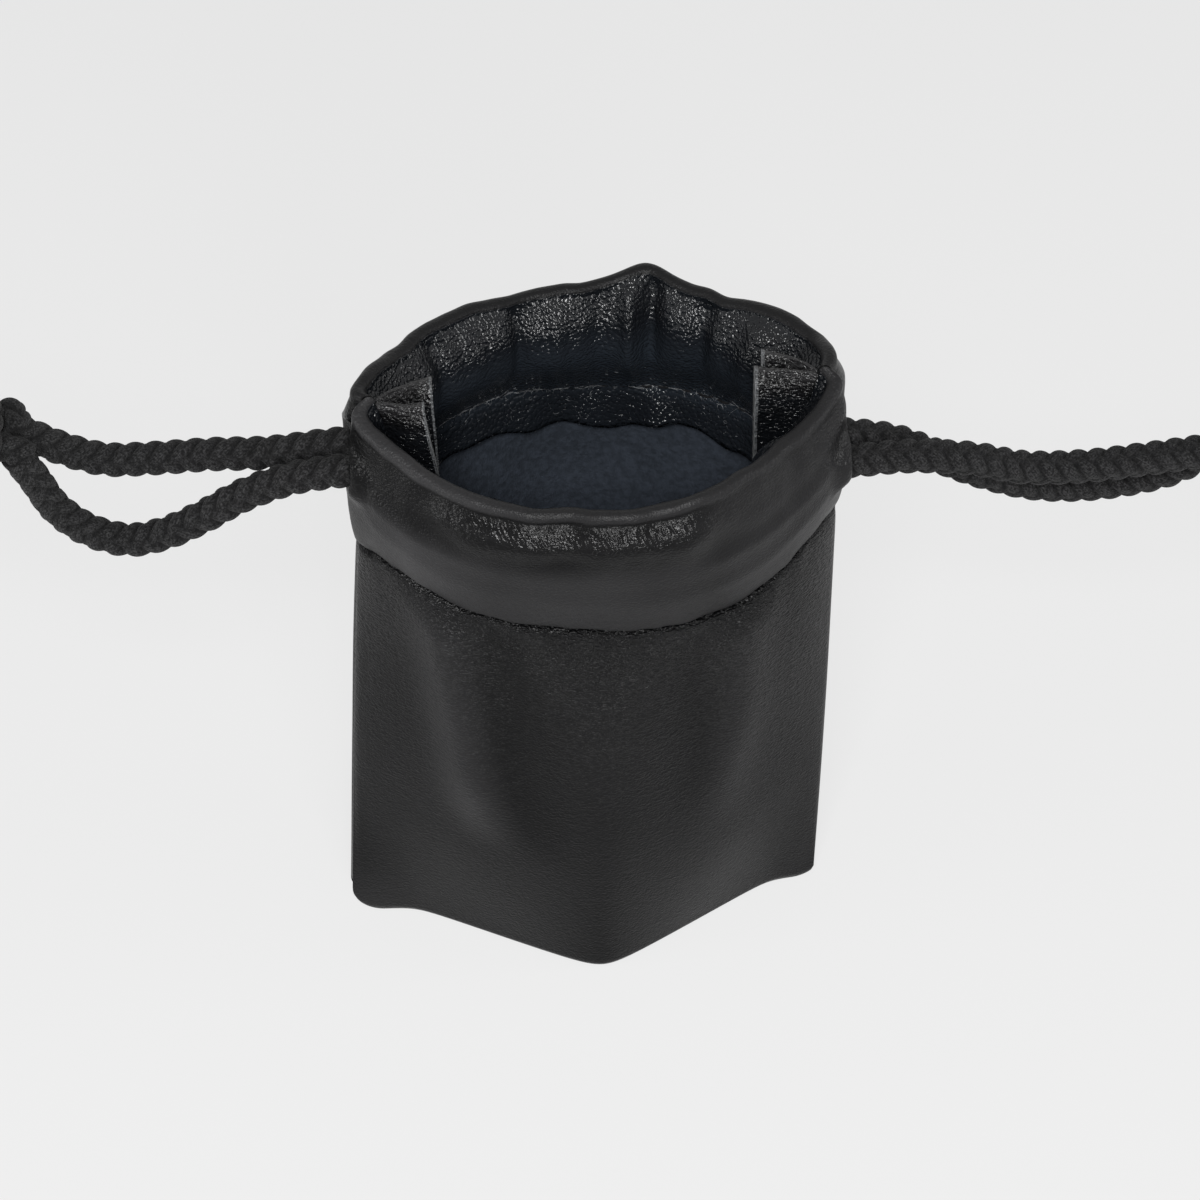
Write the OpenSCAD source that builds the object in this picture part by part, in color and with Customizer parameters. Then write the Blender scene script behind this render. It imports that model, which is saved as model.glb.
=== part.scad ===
// Drawstring dice bag: a small leatherette pouch that stands open on its folded base.
// Millimetres, +Z up, +X to the wearer's right of the front face, front face towards -Y.
// The origin is the middle of the base, on the surface that the bag stands on.

/* [Pouch] */
// Distance between the side seams, measured across the rim
seam_span = 78; // [70:1:90]
// Height of the rim at the side seams
rim_height = 128; // [110:1:150]
// Thickness of the leatherette
skin = 0.9; // [0.7:0.1:1.2]
// Distance between the bottom corners
corner_span = 90; // [84:1:100]
// Front-to-back depth of the flattened base
base_depth = 40; // [30:1:50]
// Length of the flattened base, between the folded corners
base_length = 74; // [60:1:80]
// Radius of the bottom corners, seen from the front
corner_radius = 6; // [3:0.5:8]

/* [Mouth] */
// How far the front rim stands out from the side seams
front_reach = 26; // [20:1:32]
// How far the back rim stands out from the side seams
back_reach = 31.5; // [24:0.5:36]
// How far the front rim dips below the side seams
front_dip = 9; // [0:1:14]
// How far the back rim dips below the side seams
back_dip = 3; // [0:1:8]
// How far the front panel stands out at its hem
front_hem_reach = 21.5; // [18:0.5:28]
// How far the back panel stands out at its hem
back_hem_reach = 35.5; // [28:0.5:40]
// How far the side seam is drawn in between the folds of the rim
seam_tuck = 2.5; // [1:0.5:4]
// How much wider the mouth is on its right half
right_fullness = 2.4; // [0:0.2:4]
// How far the front rim is pushed out right of its middle
front_push = 2.2; // [0:0.2:4]
// How far the back rim is pushed out right of its middle
back_push = 3.5; // [0:0.5:5]

/* [Casing] */
// Height of the folded casing, from the rim to the hem stitches
casing_height = 29.5; // [27:0.5:34]
// Width of the loose hem band below the hem stitches, down to its raw edge
raw_edge = 8; // [4:0.5:10]
// Half thickness of the fold along the rim
fold_radius = 1.35; // [1.2:0.05:1.8]
// Clearance between a cord and the casing round it
cord_clearance = 0.8; // [0.5:0.1:1.2]
// Depth of the upper cord below the rim
upper_cord_depth = 11.5; // [11:0.5:13]

/* [Side seams] */
// Width of the seam allowance turned to the inside
allowance = 12; // [8:1:14]
// Half the distance between the two raw edges of an allowance
allowance_spread = 3.6; // [2:0.2:5]
// Clearance between the sewn pieces
piece_gap = 0.3; // [0.2:0.05:0.5]

/* [Stitches] */
// Distance between the needle holes
stitch_pitch = 4; // [3:0.5:6]
// Thickness of the thread
thread = 0.6; // [0.4:0.1:0.9]

/* [Drawstrings] */
// Diameter of the braided cord
cord_d = 5.4; // [4:0.1:6]
// Length of the stopper knot
knot_length = 18; // [15:1:22]
// Diameter of the stopper knot
knot_d = 15; // [13:0.5:18]
// Length of each cord tail beyond its knot
tail_length = 12; // [8:1:20]

/* [Hidden] */

FRONT = -1;
BACK = 1;
LEFT = -1;
RIGHT = 1;
black_leather = [0.17, 0.17, 0.18];
black_thread = [0.09, 0.09, 0.1];
black_cord = [0.1, 0.1, 0.11];

// A panel's stations run from the left side seam, at 0, to the right one, at 180 degrees.
stations = [0, 4, 9, 15, 22, 30, 39, 50, 63, 76, 90, 104, 117, 130, 141, 150, 158, 165, 171, 176, 180];
stitch_skin = 0.05;
cord_spacing = cord_d + 0.3;
lower_cord_depth = upper_cord_depth + cord_spacing;
tunnel_half = cord_d / 2 + cord_clearance;
seam_x = seam_span / 2;
rim_x = seam_x + 2.2;
hem_x = seam_x + 3;
corner_x = corner_span / 2 - skin;
tuck_angle = 9;
push_angle = 110;
push_spread = 16;
apex_round = 0.1;
ear_half = 1.4;
ear_shift = 0.9;
seam_plane = 0.15;
exit_angle = 20;

function lerp(a, b, t) = a + (b - a) * t;
function clamp01(t) = min(1, max(0, t));
function reach_curve(phi, power) = pow(max(0, sin(phi)), power);
function tuck(phi) = seam_tuck * (exp(-pow(phi / tuck_angle, 2)) + exp(-pow((180 - phi) / tuck_angle, 2)));
function side_sign(phi) = phi < 90 ? -1 : 1;

// The mouth is lopsided: 0 at the left side seam, 1 at the right one.
function rightness(phi) = (1 - cos(phi)) / 2;
function fullness(side, phi) =
    let (r = rightness(phi))
    side == FRONT ? 1.65 : lerp(1.45, 1.1, r * r * (3 - 2 * r));
function push(side, phi) =
    (side == FRONT ? front_push : back_push) * exp(-pow((phi - push_angle) / push_spread, 2));

// Outward direction of a panel, level with the table; at the side seams it points along X.
function outward(side, phi) =
    let (reach = side == FRONT ? front_reach : back_reach)
    let (v = [-cos(phi) * reach, side * reach_curve(phi, min(1.5, fullness(side, phi))) * rim_x])
    [v[0] / norm(v), v[1] / norm(v), 0];

// Middle of the casing at the rim, at the hem stitches, and the inner face of the skin at the base.
function rim_point(side, phi) =
    let (reach = side == FRONT ? front_reach : back_reach)
    let (dip = side == FRONT ? front_dip : back_dip)
    [
        -(rim_x + right_fullness * rightness(phi)) * cos(phi) - side_sign(phi) * tuck(phi),
        side * (seam_plane + (reach - fold_radius) * reach_curve(phi, fullness(side, phi)) + push(side, phi)),
        rim_height - dip * reach_curve(phi, 1.2)
    ];

function hem_point(side, phi) =
    let (reach = side == FRONT ? front_hem_reach : back_hem_reach)
    let (drop = side == FRONT ? front_dip - 2 : back_dip)
    [
        -(hem_x - skin + 0.7 * right_fullness * rightness(phi)) * cos(phi),
        side * (seam_plane + (reach - skin) * reach_curve(phi, min(1.5, fullness(side, phi)))),
        rim_height - casing_height - 1 - drop * reach_curve(phi, 1.2)
    ];

function base_depth_at(x) =
    let (shape = 1 - sqrt(pow(2 * x / base_length, 2) + pow(apex_round, 2)))
    max(ear_half, base_depth / 2 * shape / (1 - apex_round));

function corner_rise(x) =
    let (over = abs(x) - (corner_x - corner_radius))
    over <= 0 ? 0 : corner_radius - sqrt(max(0, pow(corner_radius, 2) - pow(over, 2)));

function base_point(side, phi) =
    let (x = -(corner_x + ear_shift * cos(phi)) * cos(phi))
    let (ends = phi == 0 || phi == 180)
    [x, side * (ends ? seam_plane : base_depth_at(x)), corner_rise(x * 0.985)];

// Middle of the casing, "depth" below the rim.
function casing_point(side, phi, depth) =
    lerp(rim_point(side, phi), hem_point(side, phi), depth / casing_height);

// Inner face of the single skin, from the base at 0 to the hem at 1.
function wall_point(side, phi, t) =
    let (belly = 2.2 * sin(180 * t) * sin(phi))
    lerp(base_point(side, phi), hem_point(side, phi), t) + outward(side, phi) * belly;

// Half the open width of the casing at a depth below the rim.
function tunnel_width(depth) = stitch_skin + (tunnel_half * 1.05) * sin(180 * clamp01(depth / casing_height));

wall_steps = [0, 0.015, 0.12, 0.3, 0.5, 0.7, 0.88];
casing_steps = [1, 0.9, 0.78, 0.64, 0.5, 0.36, 0.22, 0.1, 0.045];
fold_angles = [22.5, 45, 90, 135, 157.5];
band_steps = [0.5, 1];

// The loose hem band hangs beside the wall, with a gap that grows towards its raw edge.
function band_point(side, phi, s) =
    let (height = norm(hem_point(side, phi) - base_point(side, phi)))
    wall_point(side, phi, 1 - s * raw_edge / height);
function band_gap(s) = piece_gap * (1 + 1.5 * s);

// One closed cross-section of a panel: up the outside, over the rim, down the turned-in
// layer to its raw edge, back up inside the casing and down the inner face of the skin.
function panel_section(side, phi) =
    let (n = outward(side, phi))
    let (top = rim_point(side, phi))
    let (down = hem_point(side, phi) - top)
    let (dir = down / norm(down))
    concat(
        [for (t = wall_steps) wall_point(side, phi, t) + n * (t == 0 ? skin - 0.4 : skin + stitch_skin)],
        [for (s = casing_steps) casing_point(side, phi, s * casing_height)
            + n * (skin + tunnel_width(s * casing_height))],
        [for (a = fold_angles) top + dir * fold_radius * (1 - sin(a)) + n * fold_radius * cos(a)],
        [for (i = [len(casing_steps) - 1:-1:0]) casing_point(side, phi, casing_steps[i] * casing_height)
            - n * (skin + tunnel_width(casing_steps[i] * casing_height))],
        [for (s = band_steps) band_point(side, phi, s) - n * (skin + band_gap(s))],
        [for (i = [len(band_steps) - 1:-1:0]) band_point(side, phi, band_steps[i])
            - n * band_gap(band_steps[i])],
        [for (s = casing_steps) casing_point(side, phi, s * casing_height)
            - n * max(tunnel_width(s * casing_height), piece_gap / 2)],
        [for (i = [len(casing_steps) - 1:-1:0]) casing_point(side, phi, casing_steps[i] * casing_height)
            + n * tunnel_width(casing_steps[i] * casing_height)],
        [for (i = [len(wall_steps) - 1:-1:0]) wall_point(side, phi, wall_steps[i]) + n * stitch_skin]
    );

// The end of a panel section as convex facets: strips across the skin and one over the fold.
wall_count = len(wall_steps);
layer_count = len(casing_steps);
inner_count = layer_count + len(band_steps);
fold_start = wall_count + layer_count - 1;
turned_start = fold_start + len(fold_angles) + 1;
section_count = turned_start + 2 * inner_count + layer_count + wall_count;
section_end = concat(
    [for (i = [0:fold_start - 1]) [i, i + 1, section_count - 2 - i, section_count - 1 - i]],
    [for (i = [0:inner_count - 2])
        [turned_start + i, turned_start + i + 1, section_strip(i + 1), section_strip(i)]],
    [concat([for (i = [fold_start:turned_start]) i], [section_strip(0), section_strip(0) + 1])]
);
// The point of the turned-in layer's inner face that lies across from its outer one.
function section_strip(i) = turned_start + 2 * inner_count - 1 - i;

// A closed skin over a list of closed rings with equally many points. The ends are made of
// the facets in "ends", or of one facet each.
module skin_rings(rings, ends = [], flip = false) {
    count = len(rings[0]);
    last = len(rings) - 1;
    end_facets = len(ends) > 0 ? ends : [[for (i = [0:count - 1]) i]];
    sides = [for (r = [0:last - 1]) for (i = [0:count - 1])
        let (a = r * count + i, b = r * count + (i + 1) % count)
        each [[a, b, b + count], [a, b + count, a + count]]];
    caps = concat(
        [for (f = end_facets) [for (i = [len(f) - 1:-1:0]) f[i]]],
        [for (f = end_facets) [for (i = f) last * count + i]]
    );
    faces = concat(sides, caps);
    polyhedron(
        points = [for (ring = rings) each ring],
        faces = flip ? [for (f = faces) [for (i = [len(f) - 1:-1:0]) f[i]]] : faces,
        convexity = 12
    );
}

// Where a cord leaves the bag, and the height at which it does so.
function exit_height(side, depth) = casing_point(side, exit_angle, depth)[2];
function exit_x(hand) = seam_x + 2.2 + (hand == RIGHT ? right_fullness : 0);
function exit_point(side, hand, depth) =
    [hand * exit_x(hand), side * cord_spacing / 2, exit_height(side, depth)];

// The opening left in a side seam, where a cord leaves the casing.
module cord_exit(side, hand, depth) {
    height = exit_height(side, depth);
    radius = cord_d / 2 + piece_gap;
    inner_end = exit_x(hand) - 2.6;
    cut = 12;
    translate([hand * inner_end, side * cord_spacing / 2, height])
        rotate([0, hand * 90, 0])
            cylinder(r = radius, h = cut, $fn = 24);
    translate([hand * (inner_end + cut / 2), 0, height])
        cube([cut, cord_spacing, 2 * radius], center = true);
}

module panel(side) {
    difference() {
        skin_rings([for (phi = stations) panel_section(side, phi)], section_end, side == BACK);
        cord_exit(side, LEFT, upper_cord_depth);
        cord_exit(side, RIGHT, lower_cord_depth);
    }
}

module front_panel() {
    color(black_leather) panel(FRONT);
}

module back_panel() {
    color(black_leather) panel(BACK);
}

// The part of both panels that is turned under and rests on the table.
module bottom_panel() {
    inset = 2 * piece_gap;
    edge = [for (phi = stations)
        let (x = base_point(FRONT, phi)[0])
        if (base_depth_at(x) > ear_half + inset) x];
    color(black_leather)
        linear_extrude(skin)
            polygon(concat(
                [for (x = edge) [x, -base_depth_at(x) + inset]],
                [for (i = [len(edge) - 1:-1:0]) [edge[i], base_depth_at(edge[i]) - inset]]
            ));
}

// Inner face of the turned-in casing layer at a side seam, or of the two skins below it.
function seam_root(hand, z) =
    let (phi = hand == LEFT ? 0 : 180)
    let (hem = hem_point(FRONT, phi))
    let (depth = (rim_height - z) / (rim_height - hem[2]) * casing_height)
    let (top = abs(hem[0]) - 1.6)
    depth > casing_height
        ? top - 2.5 * (1 - z / hem[2])
        : min(top, abs(casing_point(FRONT, phi, depth)[0]) - skin - tunnel_width(depth) - 4 * piece_gap);

// The two seam allowances of one side, sewn together at their root and spread inside.
module side_seam(hand) {
    low = 16;
    high = rim_height - fold_radius;
    hem = rim_height - casing_height - 1;
    heights = concat(
        [for (i = [0:4]) lerp(low, hem, i / 4)],
        [for (i = [1:10]) lerp(hem, high, i / 10)]
    );
    color(black_leather)
        skin_rings([for (z = heights)
            let (root = seam_root(hand, z))
            let (end = seam_root(hand, hem) - 0.5 - allowance)
            let (spread = lerp(allowance_spread * 0.6, allowance_spread, z / high))
            [
                [hand * root, -skin, z],
                [hand * end, -spread - skin / 2, z],
                [hand * end, -spread + skin / 2, z],
                [hand * (root - 2.4), 0, z],
                [hand * end, spread - skin / 2, z],
                [hand * end, spread + skin / 2, z],
                [hand * root, skin, z]
            ]], [[0, 1, 2, 3], [3, 4, 5, 6], [0, 3, 6]], hand == LEFT);
}

module left_side_seam() {
    side_seam(LEFT);
}

module right_side_seam() {
    side_seam(RIGHT);
}

// A straight length of thread between two points.
module thread_bar(a, b) {
    v = b - a;
    translate(a)
        rotate([0, acos(v[2] / norm(v)), atan2(v[1], v[0])])
            cylinder(d = thread, h = norm(v), $fn = 6);
}

// The row of stitches that joins the two allowances of a side seam.
module seam_stitches(hand) {
    low = 20;
    high = hem_point(FRONT, 0)[2] - 4;
    count = floor((high - low) / stitch_pitch);
    color(black_thread)
        for (i = [0:count - 1], side = [FRONT, BACK]) {
            z = low + i * stitch_pitch;
            root = seam_root(hand, z) - 1.5;
            face = side * (skin + 0.35);
            thread_bar([hand * root, face, z], [hand * root, face, z + stitch_pitch * 0.7]);
        }
}

module left_seam_stitches() {
    seam_stitches(LEFT);
}

module right_seam_stitches() {
    seam_stitches(RIGHT);
}

// Length along a hem, paired with the station it belongs to.
function hem_lengths(side) =
    [for (phi = 6, s = 0; phi <= 174; s = s + norm(hem_point(side, phi + 1) - hem_point(side, phi)), phi = phi + 1)
        [s, phi]];

function hem_surface(side, phi, offset) = hem_point(side, phi) + outward(side, phi) * offset;

// The stitches that hold the turned-in layer, seen outside and inside the panel.
module hem_stitches(side) {
    table = hem_lengths(side);
    total = table[len(table) - 1][0];
    count = floor(total / stitch_pitch);
    face = skin + stitch_skin + thread * 0.2;
    color(black_thread)
        for (i = [0:count - 1], layer = [1, -1]) {
            shift = layer > 0 ? 0 : stitch_pitch / 2;
            start = min(total - stitch_pitch, i * stitch_pitch + shift);
            thread_bar(
                hem_surface(side, lookup(start, table), layer * face),
                hem_surface(side, lookup(start + stitch_pitch * 0.7, table), layer * face)
            );
        }
}

module front_hem_stitches() {
    hem_stitches(FRONT);
}

module back_hem_stitches() {
    hem_stitches(BACK);
}

// A round cord along a list of points; the ends are cut square to "first" and "last".
module cord_tube(route, first, last) {
    sides = 10;
    top = len(route) - 1;
    heading = [for (i = [0:top])
        let (v = i == 0 ? first : i == top ? last : route[i + 1] - route[i - 1])
        v / norm(v)];
    skin_rings([for (i = [0:top])
        let (across = cross(heading[i], [0, 0, 1]) / norm(cross(heading[i], [0, 0, 1])))
        let (up = cross(across, heading[i]))
        [for (k = [0:sides - 1])
            route[i] + cord_d / 2 * (across * cos(360 * k / sides) + up * sin(360 * k / sides))]
    ]);
}

run_stations = [38, 52, 66, 80, 95, 110, 125, 138, 150, 160, 170, 180];

// A cord's place in the casing; near the far side seam it levels out to meet its other half.
function seam_height(depth) = (exit_height(FRONT, depth) + exit_height(BACK, depth)) / 2;
function run_point(side, hand, phi, depth) =
    let (p = casing_point(side, hand == LEFT ? phi : 180 - phi, depth))
    let (past = (phi - 180 + exit_angle) / exit_angle)
    [p[0], p[1], past < 0 ? p[2] : lerp(exit_height(side, depth), seam_height(depth), past)];

// A cord inside a casing, from its own side of the bag to the other side seam.
module casing_run(side, hand, depth) {
    leave = exit_point(side, hand, depth);
    turn = [leave - [hand * 1.3, 0, 0], leave - [hand * 2.1, -side * 1.25, 0]];
    first = side == FRONT ? 28 : hand == LEFT ? 24 : 17;
    inside = [for (phi = concat([first], run_stations)) run_point(side, hand, phi, depth)];
    color(black_cord)
        cord_tube(concat([leave], turn, inside), [-hand, 0, 0], [0, -side, 0]);
}

module left_cord_front_run() {
    casing_run(FRONT, LEFT, upper_cord_depth);
}

module left_cord_back_run() {
    casing_run(BACK, LEFT, upper_cord_depth);
}

module right_cord_front_run() {
    casing_run(FRONT, RIGHT, lower_cord_depth);
}

module right_cord_back_run() {
    casing_run(BACK, RIGHT, lower_cord_depth);
}

// The free strands, from the side seams to the knots.
left_front_route = [
    [-46, -2.85, 114], [-53, -2.85, 113], [-61, -2.85, 110], [-68, -2.8, 105.8], [-75, -2.8, 102.5],
    [-81.5, -2.8, 101.6], [-88, -2.8, 104.5], [-93, -2.8, 110], [-96, -2.8, 117], [-98.5, -2.8, 122.5]
];
left_back_route = [
    [-46, 2.85, 115.3], [-56, 2.85, 114.5], [-66, 2.85, 115], [-76, 2.85, 115], [-84, 2.85, 115.5],
    [-91, 2.85, 118.5], [-98.5, 2.85, 123.5]
];
right_front_route = [
    [46, -2.85, 108.3], [56, -2.85, 108.5], [67, -2.85, 107], [77, -2.85, 104], [88, -2.85, 103.3],
    [99, -2.85, 104], [115, -2.85, 105.5]
];
right_back_route = [
    [46, 2.85, 109.5], [54, 2.85, 107.5], [62, 2.85, 103.3], [71, 2.85, 98.5], [81, 2.85, 94.8],
    [92, 2.85, 93.8], [103, 2.85, 95.2], [109.5, 2.85, 98], [115, 2.85, 101.5]
];

module strand(side, hand, depth, route) {
    start = exit_point(side, hand, depth) + [hand * 2 * piece_gap, 0, 0];
    color(black_cord)
        cord_tube(concat([start], route), [hand, 0, 0], route[len(route) - 1] - route[len(route) - 2]);
}

module left_cord_front_strand() {
    strand(FRONT, LEFT, upper_cord_depth, left_front_route);
}

module left_cord_back_strand() {
    strand(BACK, LEFT, upper_cord_depth, left_back_route);
}

module right_cord_front_strand() {
    strand(FRONT, RIGHT, lower_cord_depth, right_front_route);
}

module right_cord_back_strand() {
    strand(BACK, RIGHT, lower_cord_depth, right_back_route);
}

// The outer shape of an overhand knot tied in both strands, with the two tails beyond it.
module stopper_knot(place, tilt) {
    waist = knot_d / 2 - 1.2;
    color(black_cord)
        translate(place)
            rotate([0, tilt, 0]) {
                rotate_extrude($fn = 24)
                    polygon([
                        [0, 0], [waist * 0.75, 0], [knot_d / 2 - 0.6, knot_length * 0.12],
                        [knot_d / 2, knot_length * 0.25], [waist, knot_length * 0.4],
                        [knot_d / 2, knot_length * 0.55], [knot_d / 2 - 0.6, knot_length * 0.75],
                        [waist * 0.8, knot_length * 0.93], [waist * 0.5, knot_length], [0, knot_length]
                    ]);
                for (side = [FRONT, BACK])
                    translate([0, side * cord_spacing / 2, knot_length - 3])
                        rotate([side * -8, 0, 0])
                            cylinder(d = cord_d, h = tail_length + 3, $fn = 16);
            }
}

module left_knot() {
    stopper_knot([-97.5, 0, 122.5], -62);
}

module right_knot() {
    stopper_knot([113.5, 0, 103.5], 86);
}

bottom_panel();
front_panel();
back_panel();
left_side_seam();
right_side_seam();
left_seam_stitches();
right_seam_stitches();
front_hem_stitches();
back_hem_stitches();
left_cord_front_run();
left_cord_back_run();
right_cord_front_run();
right_cord_back_run();
left_cord_front_strand();
left_cord_back_strand();
left_knot();
right_cord_front_strand();
right_cord_back_strand();
right_knot();
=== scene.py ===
"""Drawstring dice bag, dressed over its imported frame.

Sizes in the classes are millimetres in the frame's own axes: the bag stands on z = 0, its front
faces -Y and its side seams lie towards -X and +X. Meshes are written in metres.
"""

import logging
import math
from dataclasses import dataclass, field
from enum import Enum
from typing import Iterable, Optional, Sequence

import bmesh
import bpy
import numpy as np
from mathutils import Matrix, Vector


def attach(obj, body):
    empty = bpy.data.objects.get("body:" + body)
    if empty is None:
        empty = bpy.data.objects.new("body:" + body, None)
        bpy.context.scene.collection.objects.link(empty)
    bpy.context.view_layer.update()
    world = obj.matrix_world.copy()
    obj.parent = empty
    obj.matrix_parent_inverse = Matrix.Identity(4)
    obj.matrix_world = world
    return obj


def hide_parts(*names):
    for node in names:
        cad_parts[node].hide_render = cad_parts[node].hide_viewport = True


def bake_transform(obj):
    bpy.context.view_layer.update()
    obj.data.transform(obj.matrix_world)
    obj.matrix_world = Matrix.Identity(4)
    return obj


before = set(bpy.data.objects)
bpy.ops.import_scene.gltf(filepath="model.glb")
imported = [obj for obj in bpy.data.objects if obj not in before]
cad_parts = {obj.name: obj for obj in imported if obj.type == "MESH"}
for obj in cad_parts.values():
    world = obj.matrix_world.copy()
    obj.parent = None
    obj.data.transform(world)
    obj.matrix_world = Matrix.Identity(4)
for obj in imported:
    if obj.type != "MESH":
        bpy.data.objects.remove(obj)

LOG = logging.getLogger("dice_bag")
MM = 0.001
Array = np.ndarray
Triple = tuple[float, float, float]
Spans = dict[str, tuple[int, int]]
Piece = bpy.types.Object
Finish = bpy.types.Material
Tree = bpy.types.NodeTree
Socket = bpy.types.NodeSocket
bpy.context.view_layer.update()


class Named(Enum):
    """A choice whose name is a word in the names of pieces, nodes and bodies."""

    @property
    def word(self) -> str:
        """Its name, as pieces have it."""
        return self.name.lower()


class Side(Named):
    """The two panels of the pouch."""

    FRONT = -1
    BACK = 1


class Hand(Named):
    """The two side seams of the pouch."""

    LEFT = -1
    RIGHT = 1


# ---------------- camera


@dataclass(frozen=True)
class StudioCamera:
    """The camera, a little left of the middle and well above the mouth."""

    place: Triple = (-48.1, -472.8, 519.8)
    target: Triple = (1.6, 0.0, 76.5)
    lens: float = 107.4

    def build(self) -> None:
        """Make the camera and hand it to the scene."""
        data = bpy.data.cameras.new("camera")
        data.lens = self.lens
        data.sensor_width = 36.0
        data.clip_start = 0.01
        data.clip_end = 10.0
        camera = bpy.data.objects.new("camera", data)
        bpy.context.scene.collection.objects.link(camera)
        place = Vector(self.place) * MM
        camera.location = place
        view = Vector(self.target) * MM - place
        camera.rotation_euler = view.to_track_quat("-Z", "Y").to_euler()
        bpy.context.scene.camera = camera


# ---------------- numbers


def smooth(x: Array, low: float, high: float) -> Array:
    """Rise from 0 at low to 1 at high, flat at both ends: 3t^2 - 2t^3."""
    t = np.clip((np.asarray(x, float) - low) / (high - low), 0.0, 1.0)
    return t * t * (3.0 - 2.0 * t)


def bump(x: Array, centre: float, width: float) -> Array:
    """A bell of height 1 round centre: e to the minus squared distance over width."""
    return np.exp(-(((np.asarray(x, float) - centre) / width) ** 2))


def lerp(a: Array, b: Array, t: Array) -> Array:
    """A straight mix of a and b."""
    return a + (b - a) * t


def profile(x: Array, at: Sequence[float], value: Sequence[float], soft: float) -> Array:
    """Read a line through points with rounded corners: its mean from x - soft to x + soft."""
    shifts = np.linspace(-soft, soft, 9)
    return np.mean([np.interp(x + shift, at, value) for shift in shifts], axis=0)


@dataclass(frozen=True)
class Ripple:
    """Smooth seeded noise: random heights on a square lattice, eased between its points."""

    seed: int
    size: int = 64

    def __call__(self, x: Array, y: Array = 0.0) -> Array:
        """Read the noise.

        Args:
            x: First coordinate, in lattice steps.
            y: Second coordinate, in lattice steps.

        Returns:
            Heights from about -1 to 1, in the shape that x and y broadcast to.
        """
        table = np.random.default_rng(self.seed).uniform(-1.0, 1.0, (self.size, self.size))
        x, y = np.broadcast_arrays(np.asarray(x, float), np.asarray(y, float))
        i, j = np.floor(x).astype(int), np.floor(y).astype(int)
        u, v = x - i, y - j
        u, v = u * u * (3 - 2 * u), v * v * (3 - 2 * v)
        i0, j0 = i % self.size, j % self.size
        i1, j1 = (i + 1) % self.size, (j + 1) % self.size
        low = lerp(table[i0, j0], table[i1, j0], u)
        high = lerp(table[i0, j1], table[i1, j1], u)
        return lerp(low, high, v)


def way_along(points: Array) -> Array:
    """The distance of each point of a line from its first, along the line."""
    return np.concatenate([[0], np.cumsum(np.linalg.norm(np.diff(points, axis=0), axis=1))])


def unit(vectors: Array) -> Array:
    """Vectors along the last axis, brought to a length of 1."""
    return vectors / np.linalg.norm(vectors, axis=-1, keepdims=True)


def circle(first: Array, second: Array, angle: Array) -> Array:
    """Directions round a line at each angle: first times its cosine plus second times its sine."""
    c, s = np.cos(angle)[:, None], np.sin(angle)[:, None]
    return first[..., None, :] * c + second[..., None, :] * s


def spline(points: Sequence[Sequence[float]], step: float) -> Array:
    """Carry a smooth curve through points and lay points along it at even steps.

    Between two points the curve is a Catmull-Rom cubic, whose slope at each point is half the
    way from the point before it to the point after it.

    Args:
        points: The points to pass through, in millimetres.
        step: The distance between the points of the result.

    Returns:
        An (n, 3) array.
    """
    p = np.asarray(points, float)
    p = np.vstack([2 * p[0] - p[1], p, 2 * p[-1] - p[-2]])
    t = np.linspace(0, 1, 40, endpoint=False)[None, :, None]
    a, b, c, d = (p[k : len(p) - 3 + k][:, None, :] for k in range(4))
    bend, twist = 2 * a - 5 * b + 4 * c - d, 3 * b - a - 3 * c + d
    curve = 0.5 * (2 * b + (c - a) * t + bend * t**2 + twist * t**3)
    curve = np.vstack([curve.reshape(-1, 3), p[-2]])
    along = way_along(curve)
    even = np.linspace(0, along[-1], max(3, int(round(along[-1] / step)) + 1))
    return np.stack([np.interp(even, along, curve[:, k]) for k in range(3)], axis=1)


# ---------------- meshes


def mesh_object(
    name: str,
    points: Array,
    faces: Iterable[Sequence[int]],
    finishes: Sequence[Finish],
    zones: Optional[Array] = None,
    uvs: Optional[Array] = None,
    marks: Optional[dict[str, Array]] = None,
) -> Piece:
    """Write one mesh piece, with its place in its mesh, and report it.

    Args:
        name: The piece's name.
        points: (n, 3) in millimetres.
        faces: Corner indices of each face, facing outwards.
        finishes: The materials, in the order of zones.
        zones: The material index of each face.
        uvs: (loops, 2) for the UV map.
        marks: Values for point attributes that the materials read.

    Returns:
        The new object.
    """
    mesh = bpy.data.meshes.new(name)
    corners = [list(map(int, face)) for face in faces]
    mesh.from_pydata((np.asarray(points, float) * MM).tolist(), [], corners)
    mesh.polygons.foreach_set("use_smooth", np.ones(len(mesh.polygons), bool))
    for finish in finishes:
        mesh.materials.append(finish)
    if zones is not None:
        mesh.polygons.foreach_set("material_index", np.asarray(zones, np.int32))
    if uvs is not None:
        mesh.uv_layers.new(name="UVMap").data.foreach_set("uv", np.asarray(uvs, np.float32).ravel())
    for label, values in (marks or {}).items():
        layer = mesh.attributes.new(label, "FLOAT", "POINT")
        layer.data.foreach_set("value", np.asarray(values, np.float32).ravel())
    mesh.update()
    made = bpy.data.objects.new(name, mesh)
    bpy.context.scene.collection.objects.link(made)
    LOG.info("%s: %d faces", name, len(mesh.polygons))
    return made


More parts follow.
